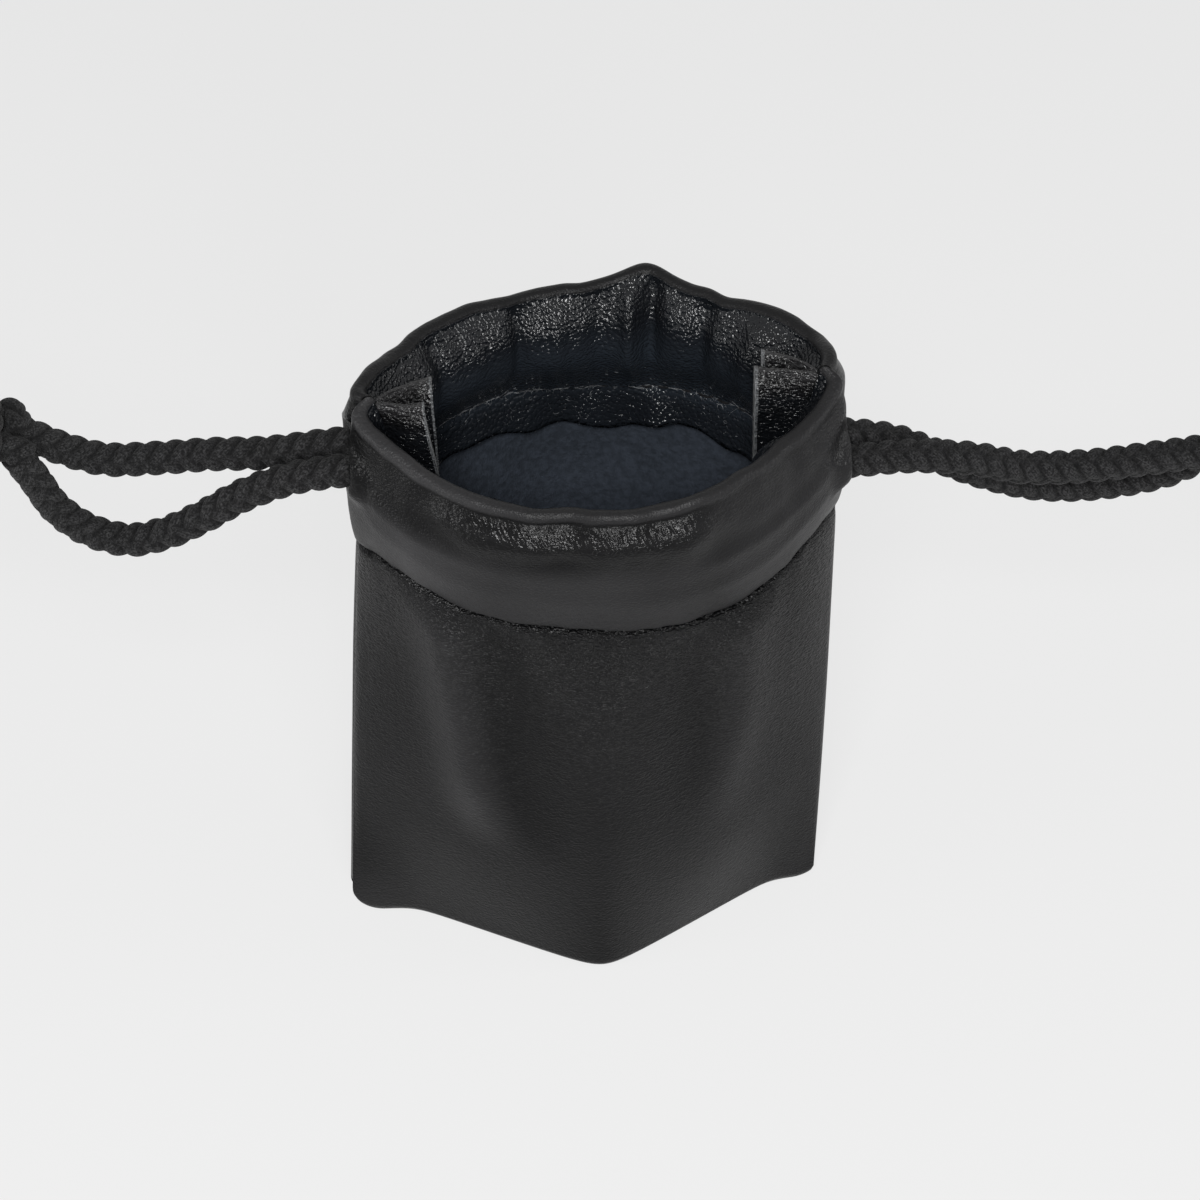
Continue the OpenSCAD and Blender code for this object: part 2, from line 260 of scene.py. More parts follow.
def grid_faces(
    rows: int, columns: int, wrap_rows: bool = False, wrap_columns: bool = False
) -> Array:
    """Index the quads of a grid whose points are stored row by row.

    Args:
        rows: How many rows of points there are.
        columns: How many points each row has.
        wrap_rows: Whether the last row joins the first.
        wrap_columns: Whether the last column joins the first.

    Returns:
        An (m, 4) array; the faces look along row direction x column direction.
    """
    r = np.arange(rows if wrap_rows else rows - 1)[:, None]
    c = np.arange(columns if wrap_columns else columns - 1)[None, :]
    r1, c1 = (r + 1) % rows, (c + 1) % columns
    corners = [r * columns + c, r1 * columns + c, r1 * columns + c1, r * columns + c1]
    return np.stack([k + 0 * (r + c) for k in corners], axis=-1).reshape(-1, 4)


def zip_rows(one: Sequence[int], other: Sequence[int], points: Array) -> list[list[int]]:
    """Join two rows of points with triangles, taking the shorter way across at each step.

    Args:
        one: Indices of one row's points.
        other: Indices of the other row's points, running the same way.
        points: (n, 3) the points themselves.

    Returns:
        The corner indices of each triangle.
    """
    gap = np.linalg.norm(points[list(one)][:, None] - points[list(other)][None], axis=-1)
    faces, i, j = [], 0, 0
    while i < len(one) - 1 or j < len(other) - 1:
        if j == len(other) - 1 or (i < len(one) - 1 and gap[i + 1, j] <= gap[i, j + 1]):
            faces.append([one[i], one[i + 1], other[j]])
            i += 1
        else:
            faces.append([one[i], other[j + 1], other[j]])
            j += 1
    return faces


# ---------------- shader groups


class NodeMaker:
    """Adds nodes to one node tree and joins them."""

    def __init__(self, tree: Tree) -> None:
        """Start on a tree."""
        self.tree = tree

    def link(self, start: Socket, end: Socket) -> None:
        """Join two sockets."""
        self.tree.links.new(start, end)

    def node(self, kind: str, **values: object) -> bpy.types.Node:
        """Add a node and set its properties."""
        made = self.tree.nodes.new(kind)
        for key, value in values.items():
            setattr(made, key, value)
        return made

    def math(self, how: str, *values: Socket | float, clamp: bool = False) -> Socket:
        """Add a math node.

        Args:
            how: The operation.
            values: Its sockets or numbers.
            clamp: Whether the result stays from 0 to 1.

        Returns:
            The node's output.
        """
        made = self.node("ShaderNodeMath", operation=how, use_clamp=clamp)
        for socket, value in zip(made.inputs, values):
            if isinstance(value, Socket):
                self.link(value, socket)
            else:
                socket.default_value = value
        return made.outputs[0]

    def times(self, a: Socket, b: Socket | float) -> Socket:
        """Multiply two values."""
        return self.math("MULTIPLY", a, b)

    def plus(self, a: Socket, b: Socket | float, clamp: bool = False) -> Socket:
        """Add two values."""
        return self.math("ADD", a, b, clamp=clamp)

    def less(self, a: Socket | float, b: Socket | float, clamp: bool = False) -> Socket:
        """Take b from a."""
        return self.math("SUBTRACT", a, b, clamp=clamp)

    def ease(self, value: Socket, low: float, high: float) -> Socket:
        """Map a value smoothly from low..high onto 0..1.

        Args:
            value: What is mapped.
            low: Where the result is 0.
            high: Where it is 1.

        Returns:
            The result.
        """
        made = self.node("ShaderNodeMapRange", interpolation_type="SMOOTHSTEP")
        self.link(value, made.inputs["Value"])
        made.inputs["From Min"].default_value = low
        made.inputs["From Max"].default_value = high
        return made.outputs[0]

    def scaled(self, vector: Socket, by: Triple) -> Socket:
        """Stretch a vector by three factors."""
        made = self.node("ShaderNodeVectorMath", operation="MULTIPLY")
        self.link(vector, made.inputs[0])
        made.inputs[1].default_value = by
        return made.outputs[0]

    def noise(self, vector: Socket, scale: float, detail: float = 2.0) -> Socket:
        """Add a noise texture and give its value.

        Args:
            vector: Where it is read.
            scale: Swells in a unit of the vector.
            detail: How many finer layers it has.

        Returns:
            Its value, from 0 to 1.
        """
        made = self.node("ShaderNodeTexNoise")
        self.link(vector, made.inputs["Vector"])
        made.inputs["Scale"].default_value = scale
        made.inputs["Detail"].default_value = detail
        return made.outputs[0]


class GroupMaker(NodeMaker):
    """Builds one shader node group with named inputs and outputs."""

    def __init__(self, name: str, inputs: dict[str, float | tuple], outputs: Sequence[str]) -> None:
        """Start a group.

        Args:
            name: The group's name.
            inputs: Its inputs with their default values; a tuple is a vector.
            outputs: Its outputs, all plain values.
        """
        super().__init__(bpy.data.node_groups.new(name, "ShaderNodeTree"))
        for label, value in inputs.items():
            kind = "NodeSocketVector" if isinstance(value, tuple) else "NodeSocketFloat"
            socket = self.tree.interface.new_socket(label, in_out="INPUT", socket_type=kind)
            socket.default_value = value
        for label in outputs:
            self.tree.interface.new_socket(label, in_out="OUTPUT", socket_type="NodeSocketFloat")
        self.entry = self.tree.nodes.new("NodeGroupInput")
        self.exit = self.tree.nodes.new("NodeGroupOutput")

    def put_out(self, **values: Socket) -> None:
        """Join sockets to the group's outputs."""
        for label, socket in values.items():
            self.link(socket, self.exit.inputs[label])


def hide_grain() -> Tree:
    """Make the grain of a coated hide: pebbles of two sizes, crinkles and the tucks of gathers.

    Returns:
        A group with Vector, Crinkle, Coarse and Gather inputs; Height in tenths of a millimetre,
        Gloss, and a rub value: how much of the raised grain each spot has, less painted shade along
            the creases.
    """
    inputs = {"Vector": (0.0, 0.0, 0.0), "Crinkle": 0.0, "Coarse": 0.0, "Gather": 0.0}
    g = GroupMaker("hide_grain", inputs, ["Height", "Gloss", "Rub"])
    vector, crinkle, coarse, gather = list(g.entry.outputs)[:4]
    # A small drift of the coordinates makes the pebbles uneven.
    drift = g.node("ShaderNodeTexNoise")
    g.link(vector, drift.inputs["Vector"])
    drift.inputs["Scale"].default_value = 420.0
    uneven = g.node("ShaderNodeVectorMath", operation="MULTIPLY_ADD")
    g.link(drift.outputs[1], uneven.inputs[0])
    uneven.inputs[1].default_value = (0.0007, 0.0007, 0.0007)
    g.link(vector, uneven.inputs[2])
    vector_uneven = uneven.outputs[0]
    # Each pebble is a dome: 1 less its squared distance from its own middle.
    domes = []
    for pebbles_per_metre in (2600.0, 1400.0):
        cells = g.node("ShaderNodeTexVoronoi", feature="F1")
        g.link(vector_uneven, cells.inputs["Vector"])
        cells.inputs["Scale"].default_value = pebbles_per_metre
        squared = g.times(cells.outputs["Distance"], cells.outputs["Distance"])
        domes.append(g.less(1.0, g.times(squared, 1.6), clamp=True))
    fine, pebble = domes
    # A crease runs where a stretched noise crosses its middle value.
    crossing = g.noise(g.scaled(vector_uneven, (560.0, 560.0, 1500.0)), 1.0)
    creases = g.ease(g.math("ABSOLUTE", g.less(crossing, 0.5)), 0.0, 0.2)
    patches = g.noise(vector, 60.0)
    fine_share = g.less(0.47, g.times(g.math("MAXIMUM", coarse, gather), 0.3), clamp=True)
    pebble_share = g.plus(g.times(coarse, 1.5), 0.08)
    height = g.plus(g.times(fine, fine_share), g.times(pebble, pebble_share))
    height = g.plus(height, g.times(g.times(creases, crinkle), 4.0))
    # Tucks are long swells that lean across the gathers.
    leaning = g.node("ShaderNodeMapping")
    g.link(vector, leaning.inputs["Vector"])
    leaning.inputs["Rotation"].default_value = (0.0, 0.45, 0.0)
    tucks = g.noise(g.scaled(leaning.outputs[0], (1700.0, 900.0, 480.0)), 1.0, 0.5)
    height = g.plus(height, g.times(g.times(tucks, gather), 2.6))
    height = g.plus(height, g.times(g.noise(vector, 5200.0, 1.0), 0.02))
    gloss = g.plus(g.times(patches, 0.6), g.times(pebble, 0.4), clamp=True)
    # Painted shade: the colour darkens along the crease lines.
    folded = g.times(g.less(1.0, creases), g.times(crinkle, 0.7))
    rub = g.plus(g.times(fine, 0.1), g.plus(g.times(patches, 0.4), 0.5))
    g.put_out(Height=height, Gloss=gloss, Rub=g.less(rub, folded, clamp=True))
    return g.tree


def felted_weave() -> Tree:
    """Make the brushed knit on the back of the hide: a fine weave under short fibres.

    Returns:
        A group with a Vector input; Height and a Shade from 0 to 1.
    """
    g = GroupMaker("felted_weave", {"Vector": (0.0, 0.0, 0.0)}, ["Height", "Shade"])
    vector = g.entry.outputs[0]
    fibres = g.noise(g.scaled(vector, (2600.0, 2600.0, 1500.0)), 1.0, 4.0)
    clumps = g.ease(g.noise(vector, 750.0, 3.0), 0.3, 0.7)
    shade = g.plus(g.times(fibres, 0.45), g.times(clumps, 0.3))
    g.put_out(
        Height=g.plus(g.times(fibres, 0.7), g.times(clumps, 0.6)),
        Shade=g.plus(shade, g.times(g.noise(vector, 110.0), 0.35), clamp=True),
    )
    return g.tree


def yarn_lines() -> Tree:
    """Make the fibres of a yarn: thin lines that lean across the UV map, broken up by fuzz.

    Returns:
        A group with UV (v along the yarn) and Vector inputs; Height and a Shade from 0 to 1.
    """
    inputs = {"UV": (0.0, 0.0, 0.0), "Vector": (0.0, 0.0, 0.0)}
    g = GroupMaker("yarn_lines", inputs, ["Height", "Shade"])
    uv, vector = g.entry.outputs[0], g.entry.outputs[1]
    parts = g.node("ShaderNodeSeparateXYZ")
    g.link(uv, parts.inputs[0])
    lean = g.plus(g.times(parts.outputs[0], 44.0), g.times(parts.outputs[1], 9.0))
    lean = g.plus(lean, g.times(g.noise(vector, 900.0), 9.0))
    lines = g.plus(g.times(g.math("SINE", lean), 0.5), 0.5)
    fuzz = g.noise(vector, 3000.0, 3.0)
    g.put_out(
        Height=g.plus(g.times(lines, 0.3), g.times(fuzz, 1.3)),
        Shade=g.plus(g.times(lines, 0.3), g.times(fuzz, 0.6), clamp=True),
    )
    return g.tree


# ---------------- finishes


class MaterialMaker(NodeMaker):
    """Builds a material's own node tree round one Principled shader."""

    def __init__(self, name: str, roughness: float, specular: float = 0.5) -> None:
        """Start a material.

        Args:
            name: The material's name.
            roughness: Its plain roughness.
            specular: Its specular level.
        """
        self.material = bpy.data.materials.new(name)
        self.material.use_nodes = True
        super().__init__(self.material.node_tree)
        self.shader = self.tree.nodes["Principled BSDF"]
        self.shader.inputs["Roughness"].default_value = roughness
        self.shader.inputs["Specular IOR Level"].default_value = specular
        coords = self.node("ShaderNodeTexCoord")
        self.place, self.uv = coords.outputs["Object"], coords.outputs["UV"]

    def use(self, tree: Tree, **links: Socket) -> bpy.types.NodeOutputs:
        """Place a node group, join its inputs and give its outputs."""
        made = self.node("ShaderNodeGroup", node_tree=tree)
        for label, socket in links.items():
            self.link(socket, made.inputs[label])
        return made.outputs

    def mark(self, label: str) -> Socket:
        """Read a point attribute of the piece."""
        return self.node("ShaderNodeAttribute", attribute_name=label).outputs["Fac"]

    def colour_mix(self, share: Socket, low: Socket | Triple, high: Triple) -> Socket:
        """Mix two colours, low where share is 0 and high where it is 1.

        Args:
            share: From 0 to 1.
            low: A colour, or a socket that gives one.
            high: A colour.

        Returns:
            The mixed colour.
        """
        made = self.node("ShaderNodeMix", data_type="RGBA")
        self.link(share, made.inputs[0])
        if isinstance(low, Socket):
            self.link(low, made.inputs[6])
        else:
            made.inputs[6].default_value = (*low, 1.0)
        made.inputs[7].default_value = (*high, 1.0)
        return made.outputs[2]

    def paint(self, colour: Socket) -> None:
        """Feed a colour to the shader."""
        self.link(colour, self.shader.inputs["Base Color"])

    def emboss(self, height: Socket, distance: float, strength: float = 1.0) -> None:
        """Feed a height to the shader's normal.

        Args:
            height: The relief.
            distance: How far a height of 1 stands up, in metres.
            strength: How much of it shows, from 0 to 1.
        """
        made = self.node("ShaderNodeBump")
        made.inputs["Strength"].default_value = strength
        made.inputs["Distance"].default_value = distance
        self.link(height, made.inputs["Height"])
        self.link(made.outputs[0], self.shader.inputs["Normal"])


@dataclass(frozen=True)
class CoatedHide:
    """The black coated leatherette: satin, finely pebbled, crinkled where it is gathered."""

    name: str = "coated_hide"
    black: Triple = (0.0014, 0.0014, 0.0016)
    # Lit grey: the pale end of the tone, which carries painted light.
    lit_grey: Triple = (0.036, 0.0355, 0.037)
    # A painted bluish shade, for the inside of the mouth.
    cool: Triple = (0.024, 0.036, 0.052)
    lint: Triple = (0.11, 0.115, 0.12)
    roughness: float = 0.46
    specular: float = 0.13
    relief: float = 0.0001

    def build(self, grain: Tree) -> Finish:
        """Make the material.

        Args:
            grain: The hide_grain group.

        Returns:
            The material.
        """
        m = MaterialMaker(self.name, self.roughness, self.specular)
        marks = {name.title(): m.mark(name) for name in ("crinkle", "coarse", "gather")}
        g = m.use(grain, Vector=m.place, **marks)
        # The leather's tone with painted light and shade: black up to the lit grey.
        share = m.math("MULTIPLY", g["Rub"], m.mark("tone"), clamp=True)
        tone = m.colour_mix(share, self.black, self.lit_grey)
        # Tinted towards the painted bluish shade where that mark is set.
        tone = m.colour_mix(m.times(share, m.mark("cool")), tone, self.cool)
        cloud = m.noise(m.place, 2300.0)
        caught = m.math("MULTIPLY", m.ease(cloud, 0.68, 0.76), m.mark("lint"), clamp=True)
        frayed = m.times(m.ease(m.mark("lint"), 1.5, 2.2), m.ease(cloud, 0.2, 0.75))
        m.paint(m.colour_mix(m.math("MAXIMUM", caught, frayed), tone, self.lint))
        rough = m.less(self.roughness, m.times(g["Gloss"], 0.12))
        shine = m.math("MAXIMUM", marks["Coarse"], marks["Gather"], clamp=True)
        m.link(m.less(rough, m.times(shine, 0.27)), m.shader.inputs["Roughness"])
        m.emboss(g["Height"], self.relief)
        return m.material


@dataclass(frozen=True)
class TwoToneFinish:
    """A dull finish of two tones, mixed by its group's shade or by patches of noise."""

    name: str
    dark: Triple
    pale: Triple
    roughness: float
    specular: float
    relief: float
    strength: float
    patches: Optional[Triple] = None

    def build(self, group: Tree) -> Finish:
        """Make the material.

        Args:
            group: The felted_weave or yarn_lines group.

        Returns:
            The material.
        """
        m = MaterialMaker(self.name, self.roughness, self.specular)
        coords = {"UV": m.uv, "Vector": m.place}
        labels = [item.name for item in group.interface.items_tree if item.in_out == "INPUT"]
        g = m.use(group, **{label: coords[label] for label in labels})
        shade = g["Shade"]
        if self.patches:
            scale, low, high = self.patches
            shade = m.ease(m.noise(m.place, scale), low, high)
        m.paint(m.colour_mix(shade, self.dark, self.pale))
        m.emboss(g["Height"], self.relief, self.strength)
        return m.material


# The brushed knit on the inner face of the leatherette.
BRUSHED_BACKING = TwoToneFinish(
    "brushed_backing",
    dark=(0.009, 0.0115, 0.0145),
    pale=(0.048, 0.058, 0.077),
    roughness=0.92,
    specular=0.2,
    relief=0.0003,
    strength=0.7,
)
# The cut edge of the leatherette, where the pale fibres of its core show.
CUT_EDGE = TwoToneFinish(
    "cut_edge",
    dark=(0.03, 0.031, 0.033),
    pale=(0.17, 0.175, 0.18),
    roughness=0.9,
    specular=0.5,
    relief=0.0002,
    strength=0.8,
    patches=(900.0, 0.3, 0.62),
)
# The black twisted polyester thread of the seams.
SEWING_THREAD = TwoToneFinish(
    "sewing_thread",
    dark=(0.004, 0.004, 0.0045),
    pale=(0.02, 0.02, 0.022),
    roughness=0.6,
    specular=0.15,
    relief=0.00008,
    strength=0.8,
)
PALE_LINT = TwoToneFinish(
    "pale_lint",
    dark=(0.07, 0.072, 0.078),
    pale=(0.24, 0.25, 0.26),
    roughness=0.9,
    specular=0.5,
    relief=0.00005,
    strength=0.5,
    patches=(500.0, 0.35, 0.65),
)


@dataclass(frozen=True)
class BraidYarn:
    """The soft black polyester yarn of the cords, dull with a little fuzz."""

    dark: Triple = (0.0022, 0.0022, 0.0024)
    pale: Triple = (0.05, 0.05, 0.051)

    def build(self, lines: Tree) -> Finish:
        """Make the material.

        Args:
            lines: The yarn_lines group.

        Returns:
            The material.
        """
        m = MaterialMaker("braid_yarn", roughness=0.8, specular=0.15)
        g = m.use(lines, UV=m.uv, Vector=m.place)
        # Pale fuzz on the strands' backs; the hollows stay dark, a painted shade.
        raised = m.less(1.0, m.mark("hollow"), clamp=True)
        fuzz = m.ease(m.noise(m.place, 2400.0), 0.36, 0.66)
        share = m.times(m.times(fuzz, g["Shade"]), m.times(raised, raised))
        m.paint(m.colour_mix(share, self.dark, self.pale))
        m.shader.inputs["Sheen Weight"].default_value = 0.04
        m.shader.inputs["Sheen Roughness"].default_value = 0.5
        m.emboss(g["Height"], 0.0002, 0.9)
        return m.material


class Finishes:
    """Every material of the bag, made once from the shared groups."""

    def __init__(self) -> None:
        """Build the groups and the materials."""
        weave, lines, grain = felted_weave(), yarn_lines(), hide_grain()
        self.hide = CoatedHide().build(grain)
        self.inner_hide = CoatedHide(name="unworn_inner_hide", specular=0.26).build(grain)
        self.backing = BRUSHED_BACKING.build(weave)
        self.edge = CUT_EDGE.build(weave)
        self.yarn = BraidYarn().build(lines)
        self.thread = SEWING_THREAD.build(lines)
        self.lint = PALE_LINT.build(weave)


# ---------------- the pouch's curves


@dataclass(frozen=True)
class PouchForm:
    """Sizes that the panels, seams and cords share."""

    seam_x: float = 39.0
    rim_x: float = 41.2
    hem_x: float = 42.0
    rim_height: float = 128.0
    skin: float = 0.9
    corner_x: float = 44.1
    ear_shift: float = 0.9
    left_ear: float = 1.4
    base_depth: float = 40.0
    base_length: float = 74.0
    corner_radius: float = 6.0
    ear_half: float = 1.4
    ear_ease: float = 1.8
    apex_round: float = 0.1
    seam_tuck: float = 2.5
    tuck_angle: float = 9.0
    right_fullness: float = 2.4
    seam_plane: float = 0.15
    wall_height: float = 95.0
    casing_height: float = 29.5
    raw_edge: float = 8.0
    fold_radius: float = 1.35
    exit_angle: float = 20.0
    upper_cord: float = 11.5
    lower_cord: float = 17.2
    cord: float = 5.4
    cord_spacing: float = 5.7
    cord_sink: float = 2.3
    cord_room: float = 0.05
    exit_out: float = 2.2
    stitch_pitch: float = 4.0
    hem_stitch: float = 2.9
    seam_stitch: float = 2.8

    def diamond(self, x: Array) -> Array:
        """Half the depth of the flat base at x: a diamond with a rounded point in its middle."""
        flat = 1 - np.sqrt((2 * x / self.base_length) ** 2 + self.apex_round**2)
        return self.base_depth / 2 * flat / (1 - self.apex_round)

    def base_depth_at(self, x: Array) -> Array:
        """Half the depth of the folded base at x: the diamond, eased into thin ears."""
        over = self.diamond(x) - self.ear_half
        return self.ear_half + 0.5 * (over + np.sqrt(over**2 + self.ear_ease**2))

    def cord_depth(self, depth: float, phi: Array) -> Array:
        """How deep a cord lies in the casing at phi: at its exit's depth there, lower past it."""
        return depth + self.cord_sink * smooth(np.sin(np.radians(phi)), 0.42, 0.8)


FORM = PouchForm()


@dataclass(frozen=True)
class PanelShape:
    """The curves of one panel; phi runs from 0 at the left seam to 180 at the right one."""

    side: Side
    reach: float
    dip: float
    hem_reach: float
    hem_drop: float
    push: float
    hem_line: tuple[tuple[float, ...], tuple[float, ...]]
    belly: float = 2.2

    def sine(self, phi: Array, power: Array) -> Array:
        """The sine of phi raised to a power."""
        return np.maximum(0.0, np.sin(np.radians(phi))) ** power

    def rightness(self, phi: Array) -> Array:
        """0 at the left seam, 1 at the right one."""
        return (1 - np.cos(np.radians(phi))) / 2

    def fullness(self, phi: Array) -> Array:
        """The power that shapes the rim; smaller is fuller."""
        r = self.rightness(phi)
        if self.side is Side.FRONT:
            return 1.65 + 0 * r
        return lerp(1.45, 1.1, r * r * (3 - 2 * r))

    def outward(self, phi: Array) -> Array:
        """The level direction away from the inside, in the shape of phi plus one axis."""
        across = -np.cos(np.radians(phi)) * self.reach
        out = self.side.value * self.sine(phi, np.minimum(1.5, self.fullness(phi))) * FORM.rim_x
        return unit(np.stack([across, out, 0 * np.asarray(phi, float)], axis=-1))

    def rim(self, phi: Array) -> Array:
        """The middle of the casing at the rim.

        Args:
            phi: Angles round the panel.

        Returns:
            Points, with an axis more than phi.
        """
        phi = np.asarray(phi, float)
        tuck = FORM.seam_tuck * (bump(phi, 0, FORM.tuck_angle) + bump(phi, 180, FORM.tuck_angle))
        half = FORM.rim_x + FORM.right_fullness * self.rightness(phi)
        x = -half * np.cos(np.radians(phi)) + np.where(phi < 90, 1, -1) * tuck
        out = (self.reach - FORM.fold_radius) * self.sine(phi, self.fullness(phi))
        y = self.side.value * (FORM.seam_plane + out + self.push * bump(phi, 110, 16))
        return np.stack([x, y, FORM.rim_height - self.dip * self.sine(phi, 1.2)], axis=-1)

    def hem(self, phi: Array) -> Array:
        """The middle of the casing at the hem stitches.

        Args:
            phi: Angles round the panel.

        Returns:
            Points, with an axis more than phi.
        """
        phi = np.asarray(phi, float)
        half = FORM.hem_x - FORM.skin + FORM.right_fullness * self.rightness(phi)
        power = np.minimum(1.5, self.fullness(phi))
        y = FORM.seam_plane + (self.hem_reach - FORM.skin) * self.sine(phi, power)
        z = FORM.rim_height - FORM.casing_height - 1 - self.hem_drop * self.sine(phi, 1.2)
        z = z + np.interp(phi, *self.hem_line)
        return np.stack([-half * np.cos(np.radians(phi)), self.side.value * y, z], axis=-1)

    def base(self, phi: Array) -> Array:
        """The inner face of the skin at the table.

        Args:
            phi: Angles round the panel.

        Returns:
            Points, with an axis more than phi.
        """
        c = np.cos(np.radians(np.asarray(phi, float)))
        x = -(FORM.corner_x + FORM.ear_shift * c) * c - FORM.left_ear * np.maximum(c, 0) ** 8
        depth = FORM.base_depth_at(x)
        near = smooth(np.minimum(phi, 180 - np.asarray(phi, float)), 0, 4)
        straight = FORM.corner_x - FORM.corner_radius + FORM.left_ear * (x < 0)
        over = np.clip(np.abs(x * 0.985) - straight, 0, FORM.corner_radius)
        rise = FORM.corner_radius - np.sqrt(FORM.corner_radius**2 - over**2)
        return np.stack([x, self.side.value * lerp(FORM.seam_plane, depth, near), rise], axis=-1)

    def casing(self, phi: Array, depth: Array) -> Array:
        """The middle of the casing at a depth below the rim."""
        share = np.asarray(depth, float)[..., None] / FORM.casing_height
        return lerp(self.rim(phi), self.hem(phi), share)

    def wall(self, phi: Array, t: Array) -> Array:
        """The inner face of the single skin, from the base at 0 to the hem at 1.

        The ears of the base fade out a little above the table, where the skin runs round.

        Args:
            phi: Angles round the panel.
            t: Places from the base to the hem, in the shape of phi.

        Returns:
            Points, with an axis more than phi.
        """
        t = np.asarray(t, float)
        belly = self.belly * np.sin(np.pi * np.clip(t, 0, 1)) * np.sin(np.radians(phi))
        foot = self.base(phi)
        depth = np.abs(foot[..., 1])
        flat = FORM.diamond(foot[..., 0])
        soft = 0.5 * (flat + np.sqrt(flat**2 + 8.0**2)) * smooth(np.minimum(phi, 180 - phi), 0, 16)
        lifted = self.side.value * lerp(depth, np.maximum(depth, soft), smooth(t, 0.0, 0.36))
        foot = np.stack([foot[..., 0] + 0 * t, lifted, foot[..., 2] + 0 * t], axis=-1)
        return lerp(foot, self.hem(phi), t[..., None]) + self.outward(phi) * belly[..., None]


FRONT_SHAPE = PanelShape(
    Side.FRONT,
    reach=26.0,
    dip=9.0,
    hem_reach=21.5,
    hem_drop=7.0,
    push=2.2,
    hem_line=(
        (0, 9, 18, 27, 36, 45, 54, 72, 90, 99, 108, 120, 127, 135, 144, 153, 162, 171, 180),
        (-1.4, -1.2, 0.3, 1.6, 2.0, 1.0, 0.0, -0.4, -1.2, -2.1, -3.2, -3.4, -3.0, -1.5, 0.2, 1.8)
        + (2.0, 1.0, 0.0),
    ),
)
BACK_SHAPE = PanelShape(
    Side.BACK,
    reach=31.5,
    dip=3.0,
    hem_reach=36.7,
    hem_drop=3.0,
    push=3.5,
    hem_line=(
        (0, 12, 20, 32, 54, 72, 90, 99, 117, 135, 160, 171, 180),
        (-1.4, -0.5, 0.4, 2.6, 4.6, 4.7, 3.5, 3.8, 5.0, 4.6, 0.4, 0, 0),
    ),
)
SHAPES = (FRONT_SHAPE, BACK_SHAPE)


# ---------------- cords


@dataclass(frozen=True)
class Braid:
    """A round braid of eight strands, four winding each way, each over two and under two."""

    diameter: float = 5.4
    lead: float = 14.0
    strands: int = 4
    around: int = 56
    step: float = 0.3
    fray: float = 1.6
    core: float = 0.66
    strand_rise: float = 0.335
    crossing_rise: float = 0.5

    def radii(self, angle: Array, along: Array) -> tuple[Array, Array, Array, Array]:
        """Work out the relief of the braid.

        A strand of one hand lies where angle/turn + along/lead is a whole quarter, one of the
        other hand where their difference is. Each has a round back, and rises and dips along its
        length as it goes over and under the others. The higher of the two hands is the surface.

        Args:
            angle: Angle round the cord.
            along: Distance along it, in millimetres.

        Returns:
            The radius, the place across (-0.5 to 0.5) and along the upper strand, and how deep
            the point lies in a hollow, from 0 to 1.
        """
        n = self.strands
        a = (angle / (2 * np.pi) + along / self.lead) * n
        b = (angle / (2 * np.pi) - along / self.lead) * n
        i, j = np.round(a), np.round(b)
        da, db = a - i, b - j
        over_a = np.cos(np.pi / 2 * (i + b + 0.5))
        over_b = -np.cos(np.pi / 2 * (a + j + 0.5))
        back_a = np.sqrt(np.clip(1 - (da / 0.5) ** 2, 0, 1)) + self.crossing_rise * over_a
        back_b = np.sqrt(np.clip(1 - (db / 0.5) ** 2, 0, 1)) + self.crossing_rise * over_b
        first = back_a > back_b
        height = np.where(first, back_a, back_b)
        radius = self.diameter / 2 * (self.core + self.strand_rise * height)
        hollow = np.clip(1.25 - height, 0, 1)
        return radius, np.where(first, da, db), np.where(first, b, a), hollow

    def tube(
        self,
        name: str,
        path: Array,
        finish: Finish,
        binormal: Sequence[float],
        frayed: bool = False,
    ) -> Piece:
        """Carry the braid along a path.

        A ring of points stands square to the path at each of its points, at the braid's radius,
        and turns with the binormal so that it doesn't twist.

        Args:
            name: The piece's name.
            path: (n, 3) points at even steps, in millimetres.
            finish: Its material.
            binormal: A direction roughly square to the whole path.
            frayed: Whether its far end is rounded down; else both ends are cut square.

        Returns:
            The cord's object.
        """
        heading = unit(np.gradient(path, axis=0))
        across = unit(np.cross(np.asarray(binormal, float)[None, :], heading))
        along = way_along(path)
        angle = np.linspace(0, 2 * np.pi, self.around, endpoint=False)
        radius, u, v, hollow = self.radii(angle[None, :], along[:, None])
        if frayed:
            inset = 1 - np.clip((along[-1] - along) / self.fray, 0, 1)
            radius = radius * np.sqrt(np.clip(1 - inset**2 * 0.8, 0, 1))[:, None]
        ring = circle(across, np.cross(heading, across), angle)
        points = (path[:, None] + ring * radius[..., None]).reshape(-1, 3)
        rows, count = len(path), self.around
        faces = grid_faces(rows, count, wrap_columns=True)[:, ::-1]
        centre = np.stack([u.ravel()[faces[:, 0]], v.ravel()[faces[:, 0]]], axis=-1)
        corners = np.stack([u.ravel()[faces], v.ravel()[faces]], axis=-1)
        far = np.abs(corners - centre[:, None]).max(axis=-1) > 0.45
        corners = np.where(far[..., None], centre[:, None], corners)
        caps = [list(range(count))[::-1], list(range((rows - 1) * count, rows * count))]
        uvs = np.concatenate([corners.reshape(-1, 2), np.zeros((2 * count, 2))])
        faces = [*faces.tolist(), *caps]
        return mesh_object(name, points, faces, [finish], uvs=uvs, marks={"hollow": hollow})


